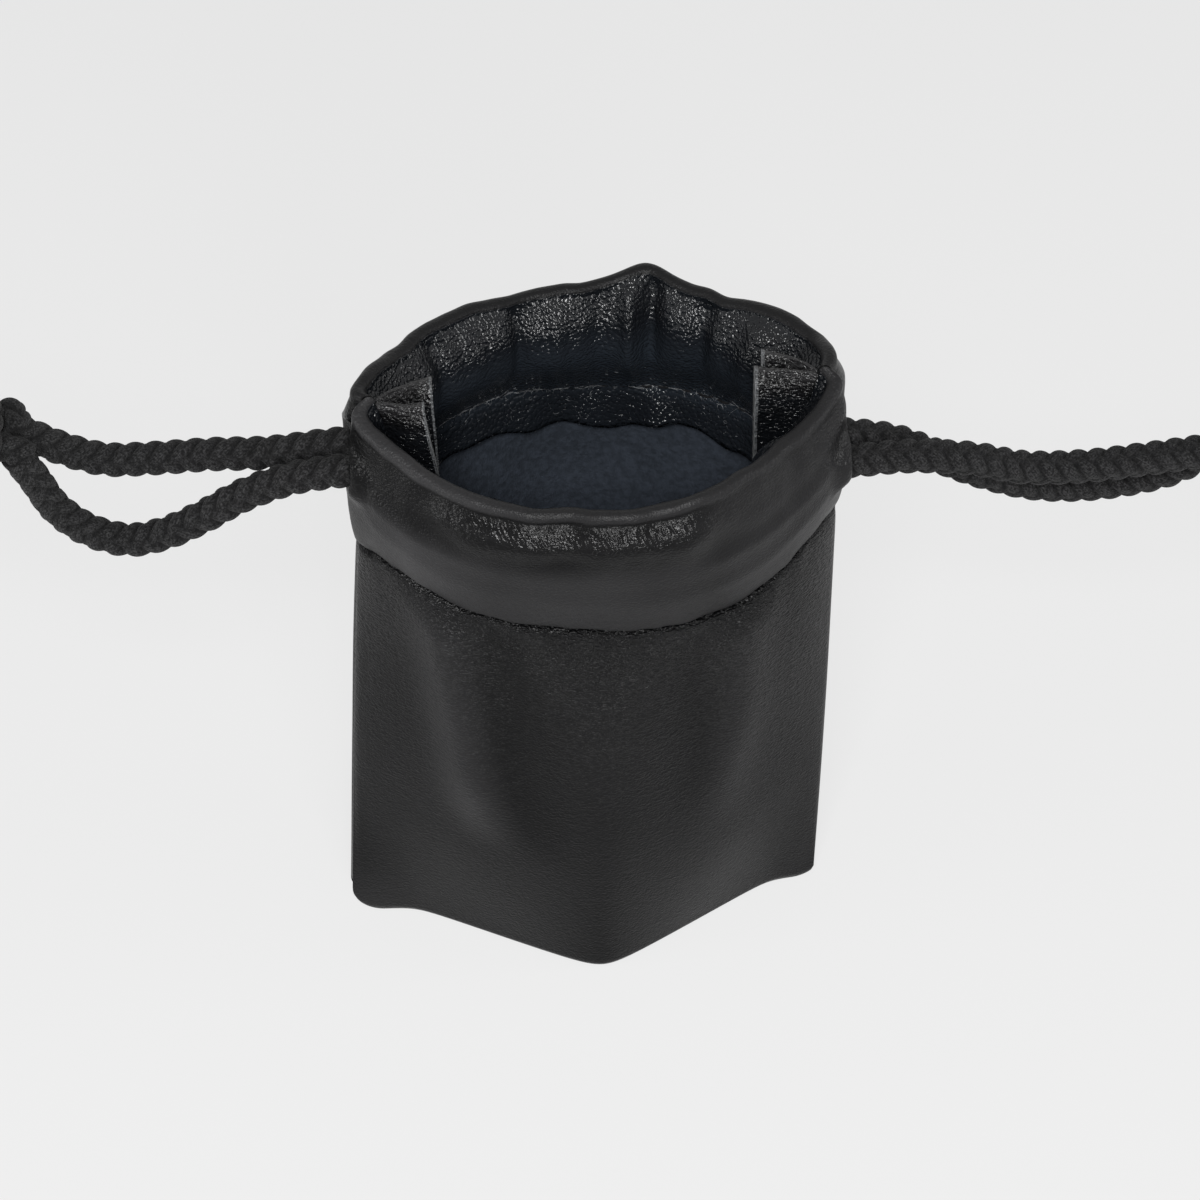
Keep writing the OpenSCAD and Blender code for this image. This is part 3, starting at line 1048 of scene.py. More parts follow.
@dataclass(frozen=True)
class Drawstring:
    """One cord: two free strands from a side seam to a knot, and its two runs in the casing.

    A route holds the x, the y and the z of the points that a strand passes through.
    """

    hand: Hand
    depth: float
    front_route: tuple[tuple[float, ...], ...]
    back_route: tuple[tuple[float, ...], ...]
    knot_place: Triple
    knot_tilt: float
    stretch: tuple[float, float]
    first_stations: tuple[float, float]
    braid: Braid = Braid()
    knot_width: tuple[float, float] = (2.0, 5.0)
    knot_depth: tuple[float, float] = (1.4, 5.9)
    knot_climb: float = 7.2
    hidden_braid: Braid = Braid(around=32, step=0.6, diameter=4.8)
    tied_braid: Braid = Braid(diameter=4.9)

    def exit_point(self, shape: PanelShape) -> Array:
        """Where a strand leaves the side seam."""
        height = shape.casing(FORM.exit_angle, self.depth)[2]
        x = FORM.seam_x + FORM.exit_out + (FORM.right_fullness if self.hand is Hand.RIGHT else 0.0)
        return np.array([self.hand.value * x, shape.side.value * FORM.cord_spacing / 2, height])

    def strand(self, shape: PanelShape, finish: Finish) -> tuple[Piece, Array]:
        """Make one free strand.

        Args:
            shape: The panel that it comes from.
            finish: Its material.

        Returns:
            The strand, and the ring centres along it.
        """
        word = shape.side.word
        route = self.front_route if shape.side is Side.FRONT else self.back_route
        start = self.exit_point(shape) + [self.hand.value * 0.6, 0, 0]
        path = spline([start, *np.transpose(route)], self.braid.step)
        made = self.braid.tube(f"{self.hand.word}_{word}_strand", path, finish, (0, 1, 0))
        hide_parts(f"{self.hand.word}_cord_{word}_strand")
        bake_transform(made)
        return made, path

    def run(self, shape: PanelShape, finish: Finish) -> None:
        """Make the run of the cord inside one panel's casing, a length for each half of it.

        Args:
            shape: The panel whose casing it lies in.
            finish: Its material.
        """
        word = shape.side.word
        leave = self.exit_point(shape)
        h, s = self.hand.value, shape.side.value
        first = self.first_stations[0 if shape.side is Side.FRONT else 1]
        stations = np.array([first, 38, 52, 66, 80, 95, 110, 125, 138, 150, 160, 170, 180], float)
        phi = stations if self.hand is Hand.LEFT else 180 - stations
        inside = shape.casing(phi, FORM.cord_depth(self.depth, phi))
        meet = np.mean([p.casing(FORM.exit_angle, self.depth)[2] for p in SHAPES])
        past = np.clip((stations - 180 + FORM.exit_angle) / FORM.exit_angle, 0, 1)
        inside[:, 2] = np.where(past > 0, lerp(leave[2], meet, past), inside[:, 2])
        turn = [leave, leave - [h * 1.3, 0, 0], leave - [h * 2.1, -s * 1.25, 0]]
        path = spline([*turn, *inside], self.hidden_braid.step)
        middle = int(np.argmin(np.abs(path[:, 0])))
        for hand, part in ((self.hand, path[: middle + 1]), (Hand(-h), path[middle:])):
            name = f"{self.hand.word}_{word}_run_{hand.word}"
            made = self.hidden_braid.tube(name, part, finish, (0, 0, 1))
            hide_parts(f"{self.hand.word}_cord_{word}_run")
            panel_blend(made, shape.side)

    def turned(self, points: Array) -> Array:
        """Turn directions from the knot's own axes, z along the cord, into the bag's."""
        t = math.radians(self.knot_tilt)
        turn = [[math.cos(t), 0, math.sin(t)], [0, 1, 0], [-math.sin(t), 0, math.cos(t)]]
        return np.asarray(points, float) @ np.array(turn).T

    def placed(self, points: Array) -> Array:
        """Bring points from the knot's own axes into the bag's."""
        return self.turned(points) + np.array(self.knot_place)

    def tail(self, side: Side, finish: Finish) -> Piece:
        """Make the end of one strand, which runs through the knot and out past it.

        Args:
            side: Which strand it ends.
            finish: Its material.

        Returns:
            The tail's object.
        """
        s = side.value
        path = [(0, s * 2.6, -1.5), (0, s * 2.3, 3), (0, s * 2.1, 9), (0, s * 2.4, 16)]
        path += [(s * 0.6, s * 3.3, 21), (s * 1.6, s * 4.4, 28.5)]
        line = spline(self.placed(path), self.tied_braid.step)
        name = f"{self.hand.word}_{side.word}_tail"
        return self.tied_braid.tube(name, line, finish, self.turned((0, 1, 0)), frayed=True)

    def wrap(self, name: str, shift: float, start: float, finish: Finish) -> Piece:
        """Make one turn that winds round the two tails.

        The turn is a flat helix. Both its ends dive into the knot, where it is narrower.

        Args:
            name: Which turn it is.
            shift: How far along the cord it lies.
            start: The angle at which it begins.
            finish: Its material.

        Returns:
            The turn's object.
        """
        turn = np.linspace(-0.12, 1.12, 60) * 2 * np.pi
        lift = smooth(turn, -0.75, 0.5) * (1 - smooth(turn, 2 * np.pi - 0.5, 2 * np.pi + 0.75))
        wide, deep = lerp(*self.knot_width, lift), lerp(*self.knot_depth, lift)
        climb = 2.6 + shift + self.knot_climb * turn / (2 * np.pi)
        coil = np.stack([wide * np.cos(turn + start), deep * np.sin(turn + start), climb], axis=-1)
        line = spline(self.placed(coil[::3]), self.tied_braid.step)
        name = f"{self.hand.word}_{name}_wrap"
        return self.tied_braid.tube(name, line, finish, self.turned((0, 0, 1)))

    def knot(self, finish: Finish) -> list[Piece]:
        """Make the stopper knot: both strands run through it as tails, and wind round it.

        Args:
            finish: Its material.

        Returns:
            Its two tails and two turns.
        """
        made = [self.tail(side, finish) for side in Side]
        made.append(self.wrap("lower", 0.0, 0.9, finish))
        made.append(self.wrap("upper", 4.7, 1.15, finish))
        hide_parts(f"{self.hand.word}_knot")
        for piece in made:
            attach(piece, f"{self.hand.word}_cord")
        return made

    def build(self, finish: Finish) -> None:
        strands = [self.strand(shape, finish) for shape in SHAPES]
        knot = self.knot(finish)
        for (piece, path), shape in zip(strands, SHAPES):
            tuple(self.exit_point(shape) * MM)
            knot if shape.side is Side.FRONT else ()
        for shape in SHAPES:
            self.run(shape, finish)


def panel_blend(piece: Piece, side: Side) -> None:
    """Bake a piece's place into its mesh.

    Args:
        piece: A piece of that half.
        side: Which panel it belongs to; not used.
    """
    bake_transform(piece)


LEFT_CORD = Drawstring(
    Hand.LEFT,
    FORM.upper_cord,
    front_route=(
        (-46, -53, -61, -68, -75, -81.5, -88, -93, -96, -98.5),
        (-2.85, -2.85, -2.85, -2.8, -2.8, -2.8, -2.8, -2.8, -2.8, -2.8),
        (114, 113, 110, 105.8, 102.5, 101.6, 104.5, 110, 117, 122.5),
    ),
    back_route=(
        (-46, -56, -66, -76, -84, -91, -98.5),
        (2.85,) * 7,
        (115.3, 114.5, 115, 115, 115.5, 118.5, 123.5),
    ),
    knot_place=(-97.5, 0, 122.5),
    knot_tilt=-62,
    stretch=(0.045, 0.095),
    first_stations=(28, 24),
)
RIGHT_CORD = Drawstring(
    Hand.RIGHT,
    FORM.lower_cord,
    front_route=(
        (46, 56, 67, 77, 88, 99, 115),
        (-2.85,) * 7,
        (108.3, 108.5, 107, 104, 103.3, 104, 105.5),
    ),
    back_route=(
        (46, 54, 62, 71, 81, 92, 103, 109.5, 115),
        (2.85,) * 9,
        (109.5, 107.5, 103.3, 98.5, 94.8, 93.8, 95.2, 98, 101.5),
    ),
    knot_place=(113.5, 0, 103.5),
    knot_tilt=86,
    stretch=(0.047, 0.105),
    first_stations=(28, 17),
)


# ---------------- panels


@dataclass(frozen=True)
class Ridge:
    """A soft ridge down the wall, or a hollow where its height is below 0."""

    height: float
    x: float
    slant: float
    width: float
    fades: tuple[float, float]

    def relief(self, x: Array, down: Array) -> Array:
        """How far it stands out: a bell across, whose middle slants, faded out further down."""
        middle = self.x + self.slant * down
        return self.height * bump(x - middle, 0, self.width) * (1 - smooth(down, *self.fades))


RIDGES = {
    Side.FRONT: (
        Ridge(2.3, -27.5, 0.14, 4.6, (42, 64)),
        Ridge(-1.0, -18.5, 0.14, 5.0, (40, 66)),
        Ridge(1.4, 24.5, -0.06, 4.6, (34, 64)),
        Ridge(-0.6, 16.5, -0.05, 5.5, (34, 64)),
    ),
    Side.BACK: (
        Ridge(1.2, -30.0, 0.2, 6.0, (36, 74)),
        Ridge(1.2, 30.0, -0.2, 6.0, (36, 74)),
    ),
}
# How far the casing's outer face stands out at each depth, where it is gathered and where it isn't.
ROLLED_CASING = (
    (0.0, 1.35, 1.8, 2.3, 2.9, 4.2, 5.2, 6.2, 7.2, 8.2, 9.2, 10.2)
    + (11.5, 13.0, 15.0, 18.0, 21.0, 24.0, 26.5, 28.4, 29.5),
    (1.35, 1.4, 1.5, 1.3, 2.0, 2.95, 3.7, 4.2, 4.4, 4.4, 4.3, 4.15)
    + (4.0, 3.95, 3.95, 3.95, 3.6, 3.0, 2.3, 1.7, 1.15),
)
FLAT_CASING = ((1.35, 1.8, 2.3, 6.0, 12.0), (1.4, 1.5, 1.45, 2.4, 3.2))
# The same for the turned-in layer, and its pleats: their places across, heights and widths.
TURNED_LAYER = (
    (0.0, 1.35, 3.0, 5.0, 7.5, 10.0, 13.0, 16.0, 19.0, 23.0, 26.0, 29.5),
    (1.35, 1.6, 2.6, 4.2, 5.7, 6.4, 6.7, 6.4, 5.4, 3.7, 2.3, 1.1),
)
PLEATS = (
    (-27.5, -19.0, -11.0, -3.5, 4.0, 10.5, 14.5, 23.5, 32.0),
    (-1.7, 1.1, -2.0, 1.0, -0.8, 1.9, -2.2, -1.7, 1.3),
    (1.7, 3.0, 1.6, 2.6, 2.2, 1.8, 1.7, 1.8, 2.4),
)
# Across the casing: how high the front rim is lifted, and how much painted light the casing's face
# gets.
FRONT_RIM = ((-20, -14, -8, -1, 8, 15, 21, 27, 33), (0, 0.4, 0.5, 1.3, 1.7, 1.9, 1.5, 0.7, 0))
PAINTED_CASING_LIGHT = (
    (-41, -36, -31, -25, -17, -10, 0, 12, 20, 27, 33, 41),
    (0.1, 0.45, 0.95, 0.65, 0.4, 0.45, 0.45, 0.3, 0.15, 0.2, 0.4, 0.3),
)


@dataclass
class Panel:
    """One panel: wall, casing folded over the rim, and the loose band of its hem.

    The mesh is one closed section carried from seam to seam. The section goes up the outside,
    over the rim, down the turned-in layer and round its cut edge, back up inside the casing, and
    down the inner face of the wall.
    """

    shape: PanelShape
    finishes: Finishes
    columns: int = 290
    half_width: float = 41.0
    curl_rows: int = 5
    fold_rows: int = 11
    pressed: float = 1.7
    swell: float = 0.35
    pucker: float = 0.42
    by_stitches: tuple[float, ...] = (0.08, 0.22, 0.38, 0.56, 0.78, 1.05, 1.4, 1.9, 2.6, 3.5)
    phi: Array = field(init=False)
    arc: Array = field(init=False)
    span: float = field(init=False)

    def __post_init__(self) -> None:
        """Space the columns evenly along the hem, and measure the way along it."""
        fine = np.linspace(0, 180, 3601)
        line = self.shape.casing(fine, np.full(len(fine), 14.0))
        way = way_along(line)
        self.span = float(way[-1])
        self.arc = np.linspace(0, self.span, self.columns)
        self.phi = np.interp(self.arc, way, fine)

    @property
    def side(self) -> int:
        """-1 for the front panel, 1 for the back one."""
        return self.shape.side.value

    @property
    def x(self) -> Array:
        """The place across the bag, in millimetres from its middle."""
        return -self.half_width * np.cos(np.radians(self.phi))

    @property
    def from_seam(self) -> Array:
        """The way along the panel from the nearer side seam."""
        return np.minimum(self.arc, self.span - self.arc)

    def seam_roll(self) -> Array:
        """How far the skin rolls in at a side seam: a hollow that deepens towards the stitches."""
        return -0.75 * np.clip(1 - self.from_seam / 2.2, 0, 1) ** 2

    def gathered(self) -> Array:
        """Where the front casing rolls over below its rim, shirred by the cord: 1 in its middle."""
        return smooth(self.x, -31, -19) * (1 - smooth(self.x, 13, 20))

    def soft_noise(self, seed: int, across: float, down: float, height: Array) -> Array:
        """Noise over the panel.

        Args:
            seed: The pattern.
            across: Size of its swells along the panel.
            down: Size of its swells down the panel.
            height: (rows,) heights or depths of the rows.

        Returns:
            A (rows, columns) array from about -1 to 1.
        """
        return Ripple(seed)(self.arc[None, :] / across, height[:, None] / down)

    def wall_relief(self, t: Array) -> Array:
        """How far the wall's skin stands out from its plain form.

        Two soft ridges slant from the hem towards the point of the base, the leather swells and
        hollows gently, and short puckers hang from the stitches.

        Args:
            t: (rows,) places from the base at 0 to the hem at 1.

        Returns:
            A (rows, columns) array in millimetres.
        """
        down = (1 - t)[:, None] * FORM.wall_height
        ridges = sum(ridge.relief(self.x[None, :], down) for ridge in RIDGES[self.shape.side])
        ridges = ridges * smooth(down, 0, 8)
        swell = self.swell * self.soft_noise(11 + self.side, 17.0, 26.0, down[:, 0])
        pucker = self.soft_noise(21 + self.side, 3.6, 9.0, down[:, 0])
        pucker = self.pucker * pucker * np.exp(-down / 4.5)
        calm = smooth(self.from_seam, 0, 6)[None, :] * smooth(t, 0.0, 0.08)[:, None]
        return (ridges + swell + pucker) * calm + self.seam_roll()[None, :]

    def stitch_groove(self, away: Array) -> Array:
        """The hollow along the hem stitches: narrow, deepest at each stitch's hole.

        Args:
            away: (rows,) distances from the stitches, positive down the wall.

        Returns:
            A (rows, columns) array, negative in the hollow.
        """
        beat = 0.9 + 0.1 * np.cos(2 * np.pi * self.arc / FORM.stitch_pitch)
        strays = 0.4 * Ripple(27 + self.side)(self.arc / 5.0) + 0.2 * Ripple(28)(self.arc / 2.1)
        pulled = 1 + 0.5 * Ripple(25 + self.side)(self.arc / 4.5)
        off = np.abs(away[:, None] - strays[None, :])
        hole, slope = 1.5 * bump(off, 0, 0.6), 0.5 * np.exp(-off / 1.2)
        return -(hole * beat[None, :] + slope * pulled[None, :])

    def over_cords(self, depth: Array, offset: Array) -> Array:
        """Keep a casing layer clear of the two cords inside it.

        The layer follows the larger of its own offset and the cords' round backs plus its skin,
        rounded off where one takes over from the other.

        Args:
            depth: (rows,) depths below the rim.
            offset: (rows, columns) the layer's own offset.

        Returns:
            A (rows, columns) array.
        """
        middles = (FORM.cord_depth(own, self.phi) for own in (FORM.upper_cord, FORM.lower_cord))
        back = FORM.cord / 2 + FORM.cord_room
        backs = [back**2 - (depth[:, None] - middle[None, :]) ** 2 for middle in middles]
        need = np.sqrt(np.clip(np.maximum(*backs), 0, None)) + FORM.skin + 0.1
        need = need * smooth(self.from_seam, 3, 10)[None, :]
        return 0.5 * (offset + need + np.sqrt((offset - need) ** 2 + 0.15))

    def outer_offset(self, depth: Array) -> Array:
        """How far the casing's outer face stands from its middle.

        A soft roll lies under the rim with a crease below it, then the casing swells over the
        cords and comes back to the stitches.

        Args:
            depth: (rows,) depths below the rim.

        Returns:
            A (rows, columns) array in millimetres.
        """
        d = depth[:, None]
        rolled = profile(depth, *ROLLED_CASING, 0.3)[:, None]
        flat = np.interp(depth, *FLAT_CASING)[:, None]
        tight = 1 - self.gathered() if self.shape.side is Side.FRONT else 0 * self.x + 0.3
        plain = np.where(d < 12.0, lerp(rolled, flat, 0.85 * tight[None, :]), rolled)
        plain = plain - 0.5 * (plain - 1.35) * (1 - smooth(self.from_seam, 0, 13))[None, :]
        crease = 9.4 + 0.7 * self.soft_noise(31 + self.side, 9.0, 400.0, depth)
        roll = self.soft_noise(33 + self.side, 7.0, 300.0, depth)
        relief = -(0.15 + 0.25 * roll) * bump(d - crease, 0, 1.7)
        relief += 0.45 * roll * bump(d, 6.0, 1.9)
        relief += 0.22 * self.soft_noise(35 + self.side, 3.0, 7.0, depth) * (1 - smooth(d, 5, 16))
        relief += 0.3 * self.soft_noise(37 + self.side, 14.0, 12.0, depth) * smooth(d, 6, 12)
        relief += 0.3 * self.soft_noise(39 + self.side, 3.4, 6.0, depth) * smooth(d, 22, 28)
        calm = smooth(d, 0.6, 2.5) * smooth(self.from_seam, 0, 6)[None, :]
        return self.over_cords(depth, plain + relief * calm)

    def casing_face(self, depth: Array) -> Array:
        """How far the casing's skin stands out, rolled in at the seams and at the stitches."""
        groove = np.maximum(self.stitch_groove(depth - FORM.casing_height), -self.pressed)
        return self.outer_offset(depth) + self.seam_roll()[None, :] + groove

    def inner_offset(self, depth: Array) -> Array:
        """How far the turned-in layer's visible face stands from the casing's middle.

        Pleats fall from the rim where the mouth was drawn shut, and the layer swells between them.

        Args:
            depth: (rows,) depths below the rim.

        Returns:
            A (rows, columns) array in millimetres.
        """
        d = depth[:, None]
        plain = profile(depth, *TURNED_LAYER, 1.1)[:, None]
        plain = lerp(1.35, plain, smooth(d, 0.8, 3.0))
        fade = smooth(d, 0.4, 4) * (1 - 0.75 * smooth(d, 13, 29))
        pleats = sum(size * bump(self.x, place, width) for place, size, width in zip(*PLEATS))
        folds = self.soft_noise(41 + self.side, 4.5, 18.0, depth)
        small = self.soft_noise(43 + self.side, 2.2, 5.0, depth)
        relief = (pleats[None, :] + 0.55 * folds + 0.18 * small) * fade
        return self.over_cords(depth, plain + relief * smooth(self.from_seam, 1, 7)[None, :])

    def rim_wave(self) -> tuple[Array, Array]:
        """The uneven line of the rim: how far it is pushed out, and up, at each column."""
        s, calm = self.arc, smooth(self.from_seam, 0, 8)
        out = 0.55 * Ripple(51 + self.side)(s / 8.5) + 0.25 * Ripple(53)(s / 3.4)
        up = 0.45 * Ripple(55 + self.side)(s / 9.5) + 0.15 * Ripple(57)(s / 3.9)
        if self.shape.side is Side.BACK:
            out = out + 0.9 * bump(self.x, 12.5, 2.6) - 0.6 * bump(self.x, 20, 4)
            up = up + 1.3 * bump(self.x, 12.5, 4.5)
        else:
            up = up + np.interp(self.x, *FRONT_RIM)
        return out * calm, up * calm

    def place(self, centre: Array, offset: Array, rim_share: Array) -> Array:
        """Set points off a panel's middle surface.

        Args:
            centre: (rows, columns, 3) points of the middle surface.
            offset: (rows, columns) distances outwards.
            rim_share: (rows,) share of the rim's unevenness that each row follows.

        Returns:
            (rows, columns, 3) points.
        """
        out, up = self.rim_wave()
        n = self.shape.outward(self.phi)[None, :, :]
        moved = centre + n * (offset + rim_share[:, None] * out[None, :])[..., None]
        moved[..., 2] += rim_share[:, None] * up[None, :]
        return moved

    def slit(self, depth: Array) -> Array:
        """How far the outer layer's edge is pushed aside, round the cords that leave at a seam."""
        wide = 0.0
        for cord, way in ((FORM.upper_cord, self.arc), (FORM.lower_cord, self.span - self.arc)):
            spread = np.exp(-(((depth - cord) / 4.4) ** 4))
            wide = wide + spread[:, None] * (1 - smooth(way, 0.3, 10))[None, :]
        return 5.3 * self.side * wide

    def casing_block(self, depth: Array, offset: Array, slit: bool) -> Array:
        """Points of one casing layer; slit says whether it parts round the cords."""
        centre = self.shape.casing(self.phi + 0 * depth[:, None], depth[:, None] + 0 * self.phi)
        points = self.place(centre, offset, 1 - smooth(depth, 4, 20))
        if slit:
            points[..., 1] += self.slit(depth)
        return points

    def wall_block(self, t: Array, offset: float, pressed: float) -> Array:
        """Points of one face of the wall.

        Args:
            t: (rows,) places from the base at 0 to the hem at 1.
            offset: How far the face stands outside the wall's inner face.
            pressed: The most that the stitches press it in.

        Returns:
            (rows, columns, 3) points.
        """
        centre = self.shape.wall(self.phi + 0 * t[:, None], t[:, None] + 0 * self.phi)
        groove = np.maximum(self.stitch_groove((1 - t) * FORM.wall_height), -pressed)
        return self.place(centre, offset + self.wall_relief(t) + groove, 0 * t)

    def curl_block(self) -> Array:
        """Points of the skin's turn at the table: level out of the base, then up into the wall."""
        inner = np.linspace(-3.4, 0.5, self.curl_rows)[:, None]
        foot = self.shape.wall(self.phi + 0 * inner, 0 * inner + 0 * self.phi)
        under = inner * lerp(0.25, 1.0, smooth(self.from_seam, 0, 5))
        reach = np.where(inner < 0, under, inner) + self.seam_roll() * 0.6
        points = foot + self.shape.outward(self.phi) * reach[..., None]
        points[..., 2] += 0.02 + 0.3 * np.clip(inner, 0, 1)
        return points

    def fold_block(self, depth: float) -> Array:
        """Points of the turn over the rim, half round from the outer face to the turned-in one.

        Args:
            depth: How far below the rim it begins and ends.

        Returns:
            (rows, columns, 3) points.
        """
        start = self.outer_offset(np.array([depth]))[0]
        stop = self.inner_offset(np.array([depth]))[0]
        angle = np.linspace(0, np.pi, self.fold_rows + 2)[1:-1]
        across = (start - stop) / 2 + np.cos(angle)[:, None] * (start + stop) / 2
        rise = np.sin(angle)[:, None] * depth + 0 * self.phi
        top = self.shape.casing(self.phi + 0 * rise, depth - rise)
        roll = np.cos(angle / 2)[:, None] * self.seam_roll()[None, :]
        return self.place(top, across + roll, 0 * angle + 1)

    def section(self) -> tuple[Array, Spans]:
        """Work out every point of the panel.

        Returns:
            (rows, columns, 3) points, and the first and last row of each block by name.
        """
        # Rows lie closer at the table, the stitches and the rim.
        skin, near = FORM.skin, np.array(self.by_stitches)
        foot = [0.012, 0.02, 0.03, 0.042]
        t = np.concatenate([foot, np.linspace(0.055, 0.953, 56), 1 - near[::-1] / FORM.wall_height])
        low = FORM.casing_height - near
        depth = np.concatenate([low, np.linspace(24.9, 10.5, 13), np.linspace(10.0, 1.3, 32)])
        hidden = np.concatenate([low[:3], np.linspace(28, 1.3, 14)])
        t_in = np.concatenate([[0.012, 0.03], np.linspace(0.055, 0.999, 34)])[::-1]
        band = np.array([0.03, 0.1, 0.2, 0.32, 0.46, 0.6, 0.74, 0.88, 1.0])
        # The two layers' hidden faces keep a skin's thickness and never cross.
        behind = np.maximum(self.outer_offset(hidden) - skin, 0.05) + self.seam_roll()[None, :]
        behind = np.minimum(behind, self.casing_face(hidden) - 0.12)
        face = np.minimum(-np.maximum(self.inner_offset(hidden) - skin, 0.2), behind - 0.02)
        curl = self.curl_block()
        blocks = {
            "curl_out": curl,
            "wall_out": self.wall_block(t, skin + 0.05, self.pressed),
            "casing_out": self.casing_block(depth, self.casing_face(depth), True),
            "fold": self.fold_block(depth[-1]),
            "turned_out": self.casing_block(depth[::-1], -self.inner_offset(depth[::-1]), False),
            "band_out": self.band_block(band, -1.0),
            "band_in": self.band_block(band[::-1], -0.15),
            "turned_in": self.casing_block(hidden, face, False),
            "layer_in": self.casing_block(hidden[::-1], behind[::-1], True),
            "wall_in": self.wall_block(t_in, 0.05, 1.0),
            "curl_in": curl[::-1] + [0, 0, skin],
        }
        rows, spans = 0, {}
        for name, block in blocks.items():
            spans[name] = (rows, rows + len(block) - 1)
            rows += len(block)
        return np.concatenate(list(blocks.values())), spans

    def band_block(self, share: Array, inward: float) -> Array:
        """Points of the loose band below the stitches, which hangs away from the wall in waves.

        Args:
            share: (rows,) places from the stitches at 0 to the cut edge at 1.
            inward: How far the face stands inside the band's outer face.

        Returns:
            (rows, columns, 3) points.
        """
        wave = Ripple(61 + self.side)(self.arc / 8.0)
        length = FORM.raw_edge * (1.0 + 0.16 * wave)
        t = 1 - share[:, None] * length[None, :] / FORM.wall_height
        centre = self.shape.wall(self.phi + 0 * t, t)
        flare = 0.9 + 0.9 * Ripple(63 + self.side)(self.arc / 6.0)
        away = 0.25 + share[:, None] * flare[None, :]
        relief = (self.wall_relief(np.ones(1)) - self.seam_roll()) * 0.6
        return self.place(centre, inward - away + relief, 0 * share)

    def wall_marks(self, z: Array) -> dict[str, Array]:
        """The marks of the wall's outside: painted highlights on its ridges and lower corners,
        painted shade in its hollows, and darker towards the base.

        Args:
            z: (rows, columns) heights.

        Returns:
            (rows, columns) marks by name.
        """
        below = np.clip(self.shape.hem(self.phi)[None, :, 2] - z, 0, None)
        middle, right = bump(self.x, 2, 30)[None, :], bump(self.x, 30, 10)[None, :]
        crinkle = 0.25 + 0.75 * middle * np.exp(-below / 16) + 0.5 * right * np.exp(-below / 40)
        t = np.clip(1 - below[:, self.columns // 2] / FORM.wall_height, 0, 1)
        # Painted highlight on the ridges and painted shade in the hollows, read from the wall's
        # relief.
        ridge_highlight_hollow_shade = 0.17 * np.clip(self.wall_relief(t) - self.seam_roll(), -0.6, 2.2)
        # Painted light: a glow at the lower corners, more on the left.
        corners = 0.34 * bump(self.x, -39, 8) + 0.16 * bump(self.x, 39, 8)
        tone = 0.03 + 0.1 * np.exp(-below / 35) + ridge_highlight_hollow_shade + corners[None, :] * bump(z, 0, 10)
        return {
            "crinkle": crinkle * np.exp(-below / 60),
            "coarse": 0.08 + 0.36 * np.exp(-below / 20) + 0.28 * middle * np.exp(-below / 9),
            "tone": np.clip(tone, 0.0, 0.6),
        }

    def casing_marks(self, z: Array) -> dict[str, Array]:
        """The marks of the casing's outside, shirred in a band below the rim, with painted light
        and shade.

        Args:
            z: (rows, columns) heights.

        Returns:
            (rows, columns) marks by name.
        """
        front = self.shape.side is Side.FRONT
        depth = self.shape.rim(self.phi)[None, :, 2] + self.rim_wave()[1][None, :] - z
        ends = bump(self.from_seam, 6.5, 3.5)[None, :] * smooth(depth, 4, 7)
        ends = ends * (1 - smooth(depth, 12, 16))
        lit = self.gathered()[None, :] if front else 0.3
        # Painted light on the casing's face, across its width; above it, painted shade in a dark
        # band under the roll.
        lit_grey = smooth(depth, 9.8, 15) * np.interp(self.x, *PAINTED_CASING_LIGHT)[None, :]
        # Painted light on the flat right part below the rim.
        tight = 0.3 * smooth(self.x, 8, 25)[None, :] * smooth(depth, 1, 3)
        # Painted light on the top band of the rim, brighter on the left.
        edge = 0.42 + 0.35 * (1 - smooth(self.x, -26, -10))[None, :] if front else 0.2
        edge = edge * (1 - smooth(depth, 1.3, 2.1))
        # The tone also carries a painted highlight along the gathered band.
        return {
            "crinkle": 0.06 + 0.1 * bump(depth, 5, 4),
            "coarse": 0.04 + 0.25 * lit * bump(depth, 5.4, 1.9) + 0.4 * ends,
            "tone": np.maximum(lit_grey, tight) + edge + 0.15 * lit * bump(depth, 5.0, 1.2),
            "gather": lit * bump(depth, 4.8, 2.2) + 0.35 * ends,
        }

    def inside_marks(self, z: Array) -> dict[str, Array | float]:
        """The marks of the turned-in layer: coarse, unworn, linty at the stitches, with painted
        light and a painted bluish shade.

        Args:
            z: (rows, columns) heights.

        Returns:
            (rows, columns) marks by name, or one number for all.
        """
        above = z - self.shape.hem(self.phi)[None, :, 2]
        down = FORM.rim_height - z
        return {
            "crinkle": 0.08,
            "coarse": 1.1,
            "lint": bump(above, 0, 2.2) + 0.35 * bump(above, -4, 6),
            # Painted light: lighter further down in the mouth's shade, darker again at the band.
            "tone": 0.1 + 0.45 * smooth(down, 8, 20) - 0.3 * smooth(down, 28, 32),
            "gather": 0.25,
            "cool": 1.0,
        }

    def marks(self, points: Array, spans: Spans) -> dict[str, Array]:
        """Say how crinkled, coarse, linty and gathered the hide is at each point, its tone with
        painted light and shade, and its painted bluish shade.

        Args:
            points: (rows, columns, 3) the panel's points.
            spans: The first and last row of each block.

        Returns:
            (rows, columns) marks by name.
        """
        labels = ("crinkle", "coarse", "lint", "tone", "gather", "cool")
        marks = {label: np.zeros(points.shape[:2]) for label in labels}
        for first, last, part in (
            ("curl_out", "wall_out", self.wall_marks),
            ("casing_out", "fold", self.casing_marks),
            ("turned_out", "band_out", self.inside_marks),
        ):
            rows = slice(spans[first][0], spans[last][1] + 1)
            for label, values in part(points[rows, :, 2]).items():
                marks[label][rows] = values
        return marks

